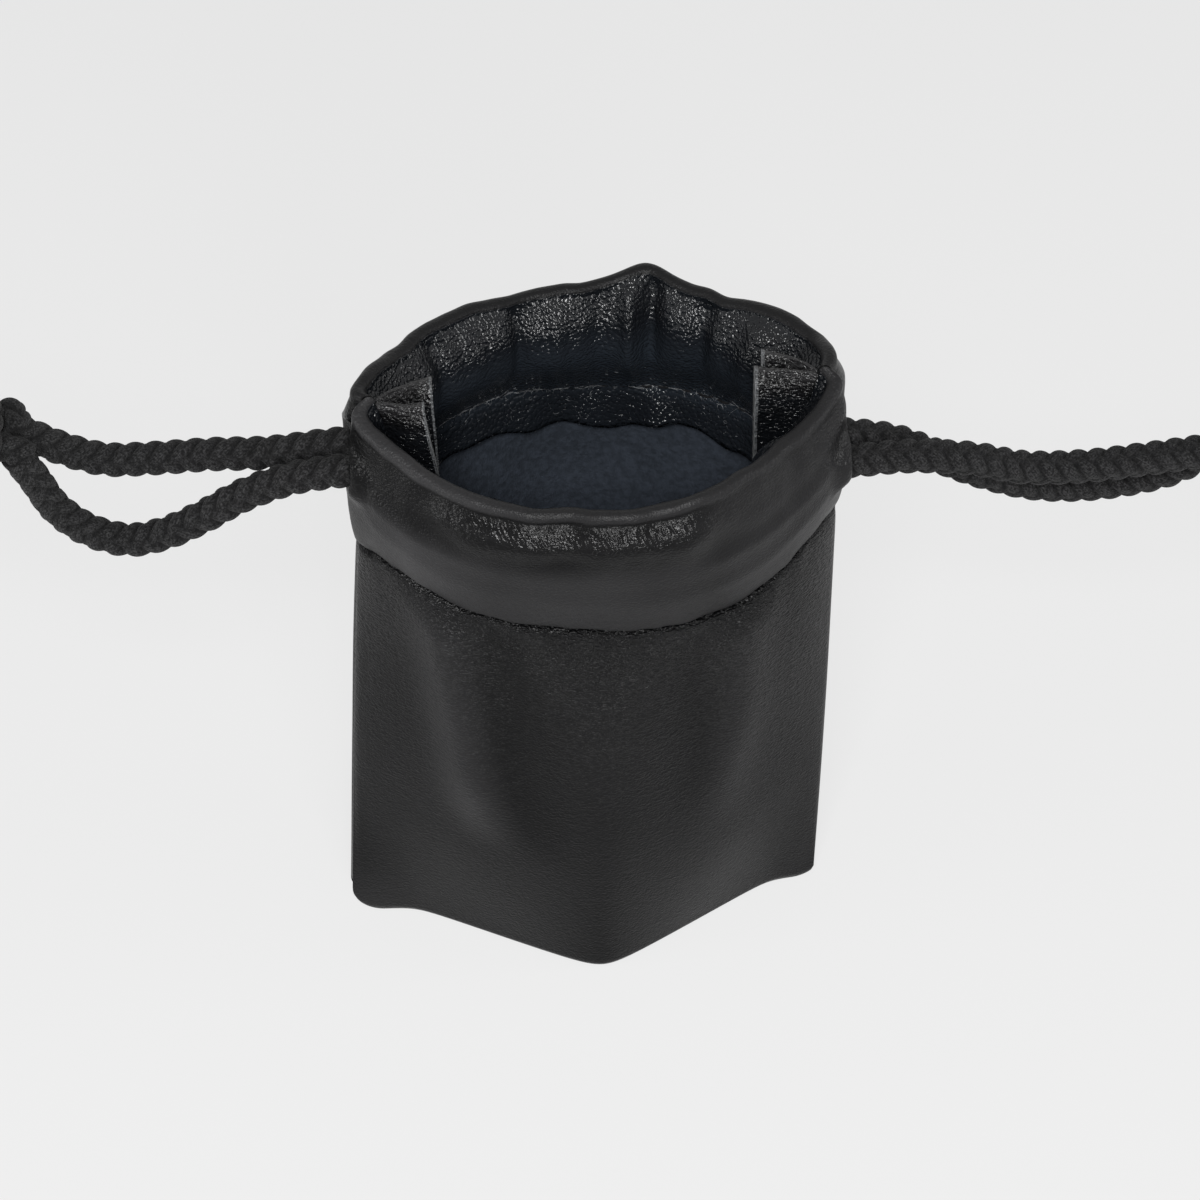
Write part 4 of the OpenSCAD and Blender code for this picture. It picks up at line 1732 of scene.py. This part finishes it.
    def build(self) -> None:
        """Make the panel's two halves, which meet face to face in its middle."""
        points, spans = self.section()
        marks = self.marks(points, spans)
        middle = int(np.searchsorted(self.x, 0.0))
        down = np.roll(points[:, middle], -1, axis=0) - np.roll(points[:, middle], 1, axis=0)
        facing = unit(self.side * np.cross(down, points[:, middle + 1] - points[:, middle - 1]))
        halves = {Hand.LEFT: slice(0, middle + 1), Hand.RIGHT: slice(middle, self.columns)}
        for hand, half in halves.items():
            parts = {label: values[:, half] for label, values in marks.items()}
            self.half(hand, points[:, half], spans, parts, facing)

    def zone_of_row(self, spans: Spans) -> Array:
        """Which finish each row of faces has: 0 hide, 1 backing, 2 cut edge, 3 inner hide.

        Args:
            spans: The first and last row of each block.

        Returns:
            (rows,) numbers of finishes.
        """
        zone = np.zeros(spans["curl_in"][1] + 1, int)
        for name in ("band_in", "turned_in", "layer_in", "wall_in", "curl_in"):
            zone[spans[name][0] : spans[name][1] + 1] = 1
        zone[spans["turned_out"][0] : spans["band_out"][1]] = 3
        zone[spans["band_out"][1]] = 2
        return zone

    def half(
        self, hand: Hand, points: Array, spans: Spans, marks: dict[str, Array], facing: Array
    ) -> None:
        """Make one half's mesh and dress it.

        Args:
            hand: Which half it is.
            points: (rows, columns, 3) its points.
            spans: The first and last row of each block.
            marks: Its point attributes.
            facing: (rows, 3) the way the skin faces where the halves meet.
        """
        rows, columns = points.shape[:2]
        front = self.shape.side is Side.FRONT
        faces = grid_faces(rows, columns, wrap_rows=True)[:, :: -1 if front else 1]
        caps = []
        for column in (0, columns - 1):
            step = -1 if (column > 0) ^ front else 1
            facets = self.caps(spans, points[:, column])
            caps.append([[k * columns + column for k in facet[::step]] for facet in facets])
        cap_zones = np.zeros(len(caps[0]) + len(caps[1]), int)
        f = self.finishes
        word = self.shape.side.word
        made = mesh_object(
            f"{word}_leather_{hand.word}",
            points.reshape(-1, 3),
            [*faces.tolist(), *caps[0], *caps[1]],
            [f.hide, f.backing, f.edge, f.inner_hide],
            zones=np.concatenate([np.repeat(self.zone_of_row(spans), columns - 1), cap_zones]),
            marks=marks,
        )
        # Where the halves meet, the cap is shaded flat and both skins share one set of normals.
        left = hand is Hand.LEFT
        rounded = np.ones(len(made.data.polygons), bool)
        first = len(faces) + (len(caps[0]) if left else 0)
        rounded[first : first + len(caps[1 if left else 0])] = False
        made.data.polygons.foreach_set("use_smooth", rounded)
        corners = faces.ravel()
        at_join = np.flatnonzero(corners % columns == (columns - 1 if left else 0))
        normals = np.zeros((len(made.data.loops), 3))
        normals[at_join] = facing[corners[at_join] // columns]
        made.data.normals_split_custom_set(normals)
        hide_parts(f"{word}_panel")
        panel_blend(made, self.shape.side)

    def caps(self, spans: Spans, points: Array) -> list[list[int]]:
        """Close a section's end: strips across the skin, and one facet over the fold.

        Args:
            spans: The first and last row of each block.
            points: (rows, 3) the end's points.

        Returns:
            Facets, as rows of that end.
        """
        rows = {name: list(range(first, last + 1)) for name, (first, last) in spans.items()}
        outer = rows["curl_out"] + rows["wall_out"] + rows["casing_out"]
        inner = rows["layer_in"] + rows["wall_in"] + rows["curl_in"]
        turned = rows["turned_out"] + rows["band_out"]
        behind = rows["band_in"] + rows["turned_in"]
        facets = zip_rows(outer, inner[::-1], points) + zip_rows(turned, behind[::-1], points)
        facets.append([outer[-1], *rows["fold"], turned[0], behind[-1], inner[0]])
        return facets


# ---------------- seams, base and stitches


@dataclass(frozen=True)
class SeamAllowance:
    """One allowance of a side seam: a doubled leaf that stands into the bag from the seam."""

    hand: Hand
    side: Side
    end_x: float
    end_y: float
    lean: float = 0.0
    low: float = 16.0
    high: float = 126.9
    cut: float = 89.0
    columns: int = 26

    def root_x(self, z: Array) -> Array:
        """Where the leaf grows out of the seam, at each height.

        Args:
            z: Heights.

        Returns:
            Distances from the middle, in the shape of z.
        """
        phi = 0.0 if self.hand is Hand.LEFT else 180.0
        hem = FRONT_SHAPE.hem(phi)
        depth = (FORM.rim_height - z) / (FORM.rim_height - hem[2]) * FORM.casing_height
        over = np.abs(FRONT_SHAPE.casing(phi + 0 * depth, np.clip(depth, 0, 30))[..., 0])
        tunnel = 0.05 + 3.675 * np.sin(np.pi * np.clip(depth / FORM.casing_height, 0, 1))
        wall = abs(hem[0]) - 1.2 - 2.2 * (1 - z / hem[2])
        return np.where(depth > FORM.casing_height, wall, over - FORM.skin - tunnel - 0.4)

    def section(self) -> tuple[Array, Array, list[int]]:
        """Work out the leaf's section across its thickness, a hook.

        It goes up the face that looks at the other leaf, over the fold at the top, down the
        turned-in layer to its cut edge, and down the single skin below it.

        Returns:
            (rows,) places across the thickness from -1 to 1, (rows,) heights, and the number of
            rows in each of its four parts.
        """
        top = self.high - 1.0
        up, down = np.linspace(self.low, top, 60), np.linspace(top, self.cut, 26)
        angle = np.linspace(0, np.pi, 9)[1:-1]
        rest = np.linspace(self.cut, self.low, 34)
        w = np.concatenate([0 * up + 1.0, np.cos(angle), 0 * down - 1.0, 0 * rest + 0.1])
        z = np.concatenate([up, top + np.sin(angle), down, rest])
        return w, z, [len(up), len(angle), len(down), len(rest)]

    def points(self, w: Array, z: Array) -> Array:
        """Carry the section from the seam to the leaf's cut end.

        Args:
            w: (rows,) places across the thickness.
            z: (rows,) heights.

        Returns:
            (rows, columns, 3) points.
        """
        s, h = self.side.value, self.hand.value
        u, w, z = np.linspace(0, 1, self.columns)[None, :], w[:, None], z[:, None]
        height = np.clip(z / self.high, 0, 1)
        sag = 1.2 * (1 - height) - self.lean * smooth(1 - height, 0, 0.16)
        x = lerp(self.root_x(z), abs(self.end_x) + sag, u)
        spread = lerp(0.35, 1.0, height**1.5) * self.end_y
        y = spread * np.sin(np.pi / 2 * u) + s * 0.55 * (1 - u)
        rough = 0.22 * Ripple(71 + s + 3 * h)(u * 4, z / 9.0)
        thick = w * lerp(0.75, 1.05 + 0.7 * smooth(z, 108, 122), u)
        y = y + rough * u - s * thick
        facing = w > 0.5 if self.side is Side.BACK else w < -0.5
        y = y + 2.0 * np.clip((z - self.high + 3.2) / 2.2, 0, 1) * facing * u
        drop = 0.25 * Ripple(73)(u * 5, 0 * z) * (z > 120)
        return np.stack([h * x, y, z + drop + 0 * u], axis=-1)

    def marks(self, z: Array) -> dict[str, Array]:
        """The marks of the leaf's hide: coarse above the hem, with a painted highlight on its fold
        and painted bluish shade below it.

        Args:
            z: (rows, columns) heights.

        Returns:
            (rows, columns) marks by name.
        """
        cut_end = np.linspace(0, 1, self.columns)[None, :] > 0.93
        return {
            "crinkle": np.full(z.shape, 0.3),
            "coarse": 0.9 * smooth(z, 84, 92),
            "gather": 0.25 * smooth(z, 84, 92) + 0.6 * smooth(z, 121, 124),
            # Painted bluish shade below the fold's top, and a painted highlight on the fold.
            "cool": 1 - smooth(z, 121, 124),
            "lint": 0.5 * bump(z, 96, 4) + 2.5 * cut_end,
            "tone": 0.08 + 0.6 * smooth(z, 125.4, 126.2),
        }

    def build(self, finishes: Finishes) -> Piece:
        """Make the leaf, its two ends closed with strips and an arch over the fold.

        Args:
            finishes: The materials.

        Returns:
            The leaf's object.
        """
        w, z, (up, over, down, _) = self.section()
        points = self.points(w, z)
        rows, columns = points.shape[:2]
        zone = np.where(np.arange(rows) < up + over + down, 0, 1)
        zone[up + over + down - 1] = 2
        flip = self.side.value == self.hand.value
        faces = grid_faces(rows, columns, wrap_rows=True)[:, :: -1 if flip else 1].tolist()
        zones = np.repeat(zone, columns - 1).tolist()
        for column, finish in ((0, 0), (columns - 1, 2)):
            ring = [k * columns + column for k in range(rows)]
            near, far = ring[:up], ring[up + over :][::-1]
            caps = [*zip_rows(near, far, points.reshape(-1, 3)), ring[up - 1 : up + over + 1]]
            faces += caps if (column > 0) ^ flip else [cap[::-1] for cap in caps]
            zones += [finish] * len(caps)
        made = mesh_object(
            f"{self.hand.word}_{self.side.word}_allowance",
            points.reshape(-1, 3),
            faces,
            [finishes.inner_hide, finishes.backing, finishes.edge],
            zones=zones,
            marks=self.marks(points[..., 2]),
        )
        recalculate(made)
        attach(made, "pouch")
        return made


def recalculate(piece: Piece) -> None:
    """Make the faces of a closed solid piece look outwards.

    Args:
        piece: The piece, changed in place.
    """
    mesh = bmesh.new()
    mesh.from_mesh(piece.data)
    bmesh.ops.recalc_face_normals(mesh, faces=mesh.faces)
    mesh.to_mesh(piece.data)
    mesh.free()
    piece.data.update()


@dataclass(frozen=True)
class FoldedBase:
    """The part of the panels that is turned under and stands on the table."""

    reach: float = 37.5
    inset: float = 1.5
    top: float = 0.95
    under: float = 0.05
    swell: float = 0.5
    rows: int = 60
    columns: int = 25

    def build(self, finishes: Finishes) -> None:
        """Make the base: a flat diamond, crossed from front to back, whose top swells a little.

        Args:
            finishes: The materials.
        """
        x = np.linspace(-self.reach, self.reach, self.rows)
        half = np.maximum(FORM.base_depth_at(x) - self.inset, 0.35)
        v = np.linspace(-1, 1, self.columns)
        y = half[:, None] * v[None, :]
        swell = self.swell * (1 - v[None, :] ** 2) * smooth(half, 1, 8)[:, None]
        top = np.stack([x[:, None] + 0 * y, y, self.top + swell + 0 * y], axis=-1)
        under = np.stack([x[:, None] + 0 * y, y, self.under + 0 * y], axis=-1)
        n = self.rows * self.columns
        faces = grid_faces(self.rows, self.columns)
        lower = faces[:, ::-1] + n
        rim = [r * self.columns for r in range(self.rows)]
        rim += [(self.rows - 1) * self.columns + c for c in range(1, self.columns)]
        rim += [r * self.columns + self.columns - 1 for r in range(self.rows - 2, -1, -1)]
        rim += [c for c in range(self.columns - 2, 0, -1)]
        walls = [[a, b, b + n, a + n] for a, b in zip(rim, rim[1:] + rim[:1])]
        points = np.concatenate([top.reshape(-1, 3), under.reshape(-1, 3)])
        zones = [1] * len(faces) + [0] * (len(lower) + len(walls))
        levels = {"crinkle": 0.2, "coarse": 0.2, "lint": 0.0, "tone": 0.3}
        marks = {label: np.full(len(points), level) for label, level in levels.items()}
        made = mesh_object(
            "folded_base",
            points,
            [*faces.tolist(), *lower.tolist(), *walls],
            [finishes.hide, finishes.backing],
            zones=zones,
            marks=marks,
        )
        recalculate(made)
        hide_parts("bottom_panel")
        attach(made, "pouch")


@dataclass(frozen=True)
class StitchRow:
    """A row of stitches: short arched lengths of twisted thread."""

    name: str
    node: str
    thread: float = 0.5
    dip: float = 0.35
    sides: int = 6
    rings: int = 6

    def build(self, starts: Array, ends: Array, sink: Array, finish: Finish) -> Piece:
        """Make the row.

        Each stitch is a tube along a straight line whose ends dip along sink, thinner at both.

        Args:
            starts: (n, 3) where the stitches begin.
            ends: (n, 3) where they end.
            sink: (n, 3) the direction into the skin.
            finish: Their material.

        Returns:
            The row's object.
        """
        t = np.linspace(0, 1, self.rings)
        dip = (2 * t - 1) ** 2 * self.dip
        centre = lerp(starts[:, None], ends[:, None], t[None, :, None])
        centre = centre + sink[:, None] * dip[None, :, None]
        heading = unit(ends - starts)
        across = unit(np.cross(heading, sink))
        angle = np.linspace(0, 2 * np.pi, self.sides, endpoint=False)
        ring = circle(across, np.cross(across, heading), angle)
        radius = self.thread / 2 * (0.55 + 0.45 * np.sin(np.pi * t))
        points = centre[:, :, None] + ring[:, None] * radius[None, :, None, None]
        one = grid_faces(self.rings, self.sides, wrap_columns=True)
        size = self.rings * self.sides
        shift = (np.arange(len(starts)) * size)[:, None, None]
        faces = (one[None] + shift).reshape(-1, 4)
        caps = np.array([list(range(self.sides))[::-1], list(range(size - self.sides, size))])
        caps = (caps[None] + shift).reshape(-1, self.sides)
        uv = np.stack([np.tile(angle, self.rings), np.repeat(t * 6, self.sides)], axis=-1)
        uv = np.tile(uv, (len(starts), 1))[np.concatenate([faces.ravel(), caps.ravel()])]
        faces = [*faces.tolist(), *caps.tolist()]
        made = mesh_object(self.name, points.reshape(-1, 3), faces, [finish], uvs=uv)
        recalculate(made)
        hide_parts(self.node)
        return made


def hem_stitches(panel: Panel, finishes: Finishes) -> None:
    """Sew one hem, a half at a time: stitches in the groove outside, and between them inside.

    Args:
        panel: The panel that they hold.
        finishes: The materials.
    """
    shape, pitch = panel.shape, FORM.stitch_pitch
    fine = np.linspace(6, 174, 2000)
    way = way_along(shape.hem(fine))
    relief = panel.wall_relief(np.array([0.995]))[0]

    def at(distance: Array, offset: float) -> Array:
        """Points on the hem at distances along it, that far outside its middle."""
        phi = np.interp(distance, way, fine)
        out = np.interp(phi, panel.phi, relief) - 1.35 * smooth(offset, 0, 0.3)
        return shape.hem(phi) + shape.outward(phi) * (offset + out[:, None])

    parts = []
    for shift, offset, sink in ((0.0, FORM.skin - 0.25, -1.0), (pitch / 2, -FORM.skin - 0.35, 1.0)):
        begin = np.minimum(way[-1] - 3, np.arange(int(way[-1] // pitch)) * pitch + shift)
        into = sink * shape.outward(np.interp(begin, way, fine))
        parts.append((at(begin, offset), at(begin + FORM.hem_stitch, offset), into))
    start, end, sink = (np.concatenate(rows) for rows in zip(*parts))
    word = shape.side.word
    for hand in Hand:
        mine = (start[:, 0] + end[:, 0]) * hand.value > 0
        row = StitchRow(f"{word}_hem_thread_{hand.word}", f"{word}_hem_stitches")
        made = row.build(start[mine], end[mine], sink[mine], finishes.thread)
        panel_blend(made, shape.side)


@dataclass(frozen=True)
class Lint:
    """The pale fluff that the inner hem stitches and the cut band have caught."""

    fibres: int = 420
    near_share: float = 0.45
    clearance: float = 0.07
    seed: int = 7
    rings: int = 6
    sides: int = 3

    def build(self, panel: Panel, finishes: Finishes) -> None:
        """Lay short curled fibres on a panel's inner face, thickest along its stitches.

        Each fibre is a three-sided tube along a bent line across the panel's own grid of points,
        a hair's breadth off it.

        Args:
            panel: The panel that they lie on.
            finishes: The materials.
        """
        rng = np.random.default_rng(self.seed)
        points, spans = panel.section()
        grid = points[spans["turned_out"][0] : spans["band_out"][1] + 1]
        stitches = spans["turned_out"][1] - spans["turned_out"][0] + 0.5
        rows, columns = grid.shape[:2]
        down = way_along(grid[:, columns // 2])
        home = np.interp(stitches, np.arange(rows), down)
        # Where each fibre's middle lies, and its length, lean and curl.
        near = rng.random(self.fibres) < self.near_share
        close, far = rng.normal(0, 0.22, self.fibres), rng.normal(2.0, 4.0, self.fibres)
        place = home + np.where(near, close, far)
        column = rng.uniform(0.16, 0.84, self.fibres) * columns
        length = (0.25 + rng.exponential(0.45, self.fibres)) * np.where(near, 1.9, 0.8)
        level, any_way = rng.normal(0, 0.3, self.fibres), rng.uniform(0, np.pi, self.fibres)
        lean = np.where(near, level, any_way)
        curl = rng.normal(0, 1.2, self.fibres)
        t = np.linspace(-0.5, 0.5, self.rings)[None, :]
        turn = lean[:, None] + curl[:, None] * t
        c = column[:, None] + length[:, None] * t * np.cos(turn) / (panel.span / (columns - 1))
        r = np.interp(place[:, None] + length[:, None] * t * np.sin(turn), down, np.arange(rows))
        i, j = np.clip(r.astype(int), 0, rows - 2), np.clip(c.astype(int), 0, columns - 2)
        u, v = (r - i)[..., None], (c - j)[..., None]
        first = lerp(grid[i, j], grid[i + 1, j], u)
        second = lerp(grid[i, j + 1], grid[i + 1, j + 1], u)
        inward = -panel.shape.outward(panel.phi)[j]
        line = lerp(first, second, v) + inward * self.clearance
        other = np.cross(unit(np.gradient(line, axis=1)), inward)
        angle = np.linspace(0, 2 * np.pi, self.sides, endpoint=False)
        thin = np.array([0.3, 0.9, 1, 1, 0.9, 0.3])
        radius = rng.uniform(0.02, 0.055, self.fibres)[:, None] * thin
        tube = line[:, :, None] + circle(inward, other, angle) * radius[..., None, None]
        one, size = grid_faces(self.rings, self.sides, wrap_columns=True), self.rings * self.sides
        ends = np.array([[2, 1, 0], [size - 3, size - 2, size - 1]])
        for hand in Hand:
            mine = tube[line[:, :, 0].mean(axis=1) * hand.value > 0]
            shift = (np.arange(len(mine)) * size)[:, None, None]
            faces = (one + shift).reshape(-1, 4).tolist() + (ends + shift).reshape(-1, 3).tolist()
            name = f"{panel.shape.side.word}_lint_{hand.word}"
            made = mesh_object(name, mine.reshape(-1, 3), faces, [finishes.lint])
            recalculate(made)
            panel_blend(made, panel.shape.side)


def seam_stitches(hand: Hand, finishes: Finishes) -> None:
    """Sew one side seam, near the roots of its two allowances.

    Args:
        hand: Which side seam it is.
        finishes: The materials.
    """
    z = np.arange(20.0, 90.0, FORM.stitch_pitch)
    x = hand.value * (SeamAllowance(hand, Side.BACK, 0, 0).root_x(z) - 1.4)
    level, s = np.tile(z, 2), np.repeat([-1.0, 1.0], len(z))
    starts = np.stack([np.tile(x, 2), 0.9 * s, level], axis=-1)
    sinks = np.stack([0 * s, -s, 0 * s], axis=-1)
    word = hand.word
    row = StitchRow(f"{word}_seam_thread", f"{word}_seam_stitches")
    made = row.build(starts, starts + [0, 0, FORM.seam_stitch], sinks, finishes.thread)
    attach(made, "pouch")


SEAMS = {
    Hand.LEFT: (
        SeamAllowance(Hand.LEFT, Side.FRONT, -28.8, -2.1, 2.4),
        SeamAllowance(Hand.LEFT, Side.BACK, -27.1, 4.4, 0.8),
    ),
    Hand.RIGHT: (
        SeamAllowance(Hand.RIGHT, Side.FRONT, 28.7, 1.4),
        SeamAllowance(Hand.RIGHT, Side.BACK, 30.6, 5.8),
    ),
}


def side_seam(hand: Hand, leaves: Sequence[SeamAllowance], finishes: Finishes) -> None:
    """Make both allowances of a side seam, which stand for its CAD node."""
    made = [leaf.build(finishes) for leaf in leaves]
    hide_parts(f"{hand.word}_side_seam")


# ---------------- stage


@dataclass(frozen=True)
class Studio:
    """A plain pale floor under soft lamps, in pale air."""

    floor: float = 0.8
    backdrop: float = 0.855
    air: float = 0.2
    glow_share: float = 0.85
    half_width: float = 4000.0
    drop: float = 0.6

    def shown_directly(self, m: NodeMaker) -> Socket:
        """1 where a camera, glossy or transmitted ray looks, 0 elsewhere."""
        path = m.node("ShaderNodeLightPath")
        seen = m.math("MAXIMUM", path.outputs["Is Camera Ray"], path.outputs["Is Glossy Ray"])
        return m.math("MAXIMUM", seen, path.outputs["Is Transmission Ray"])

    def build(self) -> None:
        """Lay the floor just below the bag, set the world and hang the lamps."""
        m = MaterialMaker("pale_floor", roughness=0.9, specular=0.0)
        m.shader.inputs["Base Color"].default_value = (self.floor,) * 3 + (1.0,)
        glow = m.node("ShaderNodeEmission")
        glow.inputs["Color"].default_value = (self.backdrop,) * 3 + (1.0,)
        mix = m.node("ShaderNodeMixShader")
        m.link(m.times(self.shown_directly(m), self.glow_share), mix.inputs[0])
        m.link(m.shader.outputs[0], mix.inputs[1])
        m.link(glow.outputs[0], mix.inputs[2])
        m.link(mix.outputs[0], m.tree.nodes["Material Output"].inputs["Surface"])
        signs = np.array([(-1, -1, 0), (1, -1, 0), (1, 1, 0), (-1, 1, 0)])
        points = signs * self.half_width - [0, 0, self.drop]
        floor = mesh_object("floor", points, [[0, 1, 2, 3]], [m.material])

        world = bpy.data.worlds.new("studio_air")
        bpy.context.scene.world = world
        world.use_nodes = True
        w = NodeMaker(world.node_tree)
        air = w.tree.nodes["Background"]
        air.inputs["Color"].default_value = (1.0, 1.0, 1.0, 1.0)
        pale = w.times(self.shown_directly(w), self.backdrop - self.air)
        w.link(w.plus(pale, self.air), air.inputs["Strength"])

        self.lamp("key_box", (-90, -520, 620), (0, 0, 90), 180, 4.4)
        self.lamp("front_strip", (70, -800, 300), (0, 0, 90), 200, 3.5)
        self.lamp("left_box", (-640, -160, 150), (0, 0, 70), 240, 1.6)
        self.lamp("right_box", (640, -120, 230), (0, 0, 70), 240, 1.0)

    def lamp(self, name: str, place: Triple, target: Triple, size: float, power: float) -> None:
        """Hang one square soft lamp.

        Args:
            name: Its name.
            place: Where it hangs.
            target: Where it points.
            size: Its side.
            power: Its power in watts.
        """
        data = bpy.data.lights.new(name, "AREA")
        data.shape = "SQUARE"
        data.size = size * MM
        data.energy = power
        made = bpy.data.objects.new(name, data)
        made.location = Vector(place) * MM
        made.rotation_euler = (Vector(target) - Vector(place)).to_track_quat("-Z", "Y").to_euler()
        bpy.context.scene.collection.objects.link(made)


# ---------------- main


def write_sizes() -> None:
    """Define a helper that lists a box's corners as plain numbers; nothing is kept."""

    def plain(box: Iterable) -> list:
        """A box as lists of plain numbers."""
        return [[float(v) for v in corner] for corner in box]


def main() -> None:
    """Build the whole bag in its studio."""
    logging.basicConfig(level=logging.INFO, format="%(name)s: %(message)s")
    bpy.context.scene.view_settings.view_transform = "Standard"
    StudioCamera().build()
    finishes = Finishes()
    for cord in (LEFT_CORD, RIGHT_CORD):
        cord.build(finishes.yarn)
    for shape in SHAPES:
        panel = Panel(shape, finishes)
        panel.build()
        hem_stitches(panel, finishes)
        Lint().build(panel, finishes)
    for hand, leaves in SEAMS.items():
        side_seam(hand, leaves, finishes)
    for hand in Hand:
        seam_stitches(hand, finishes)
    FoldedBase().build(finishes)
    Studio().build()
    write_sizes()
    LOG.info("the bag is made")


if __name__ == "__main__":
    main()
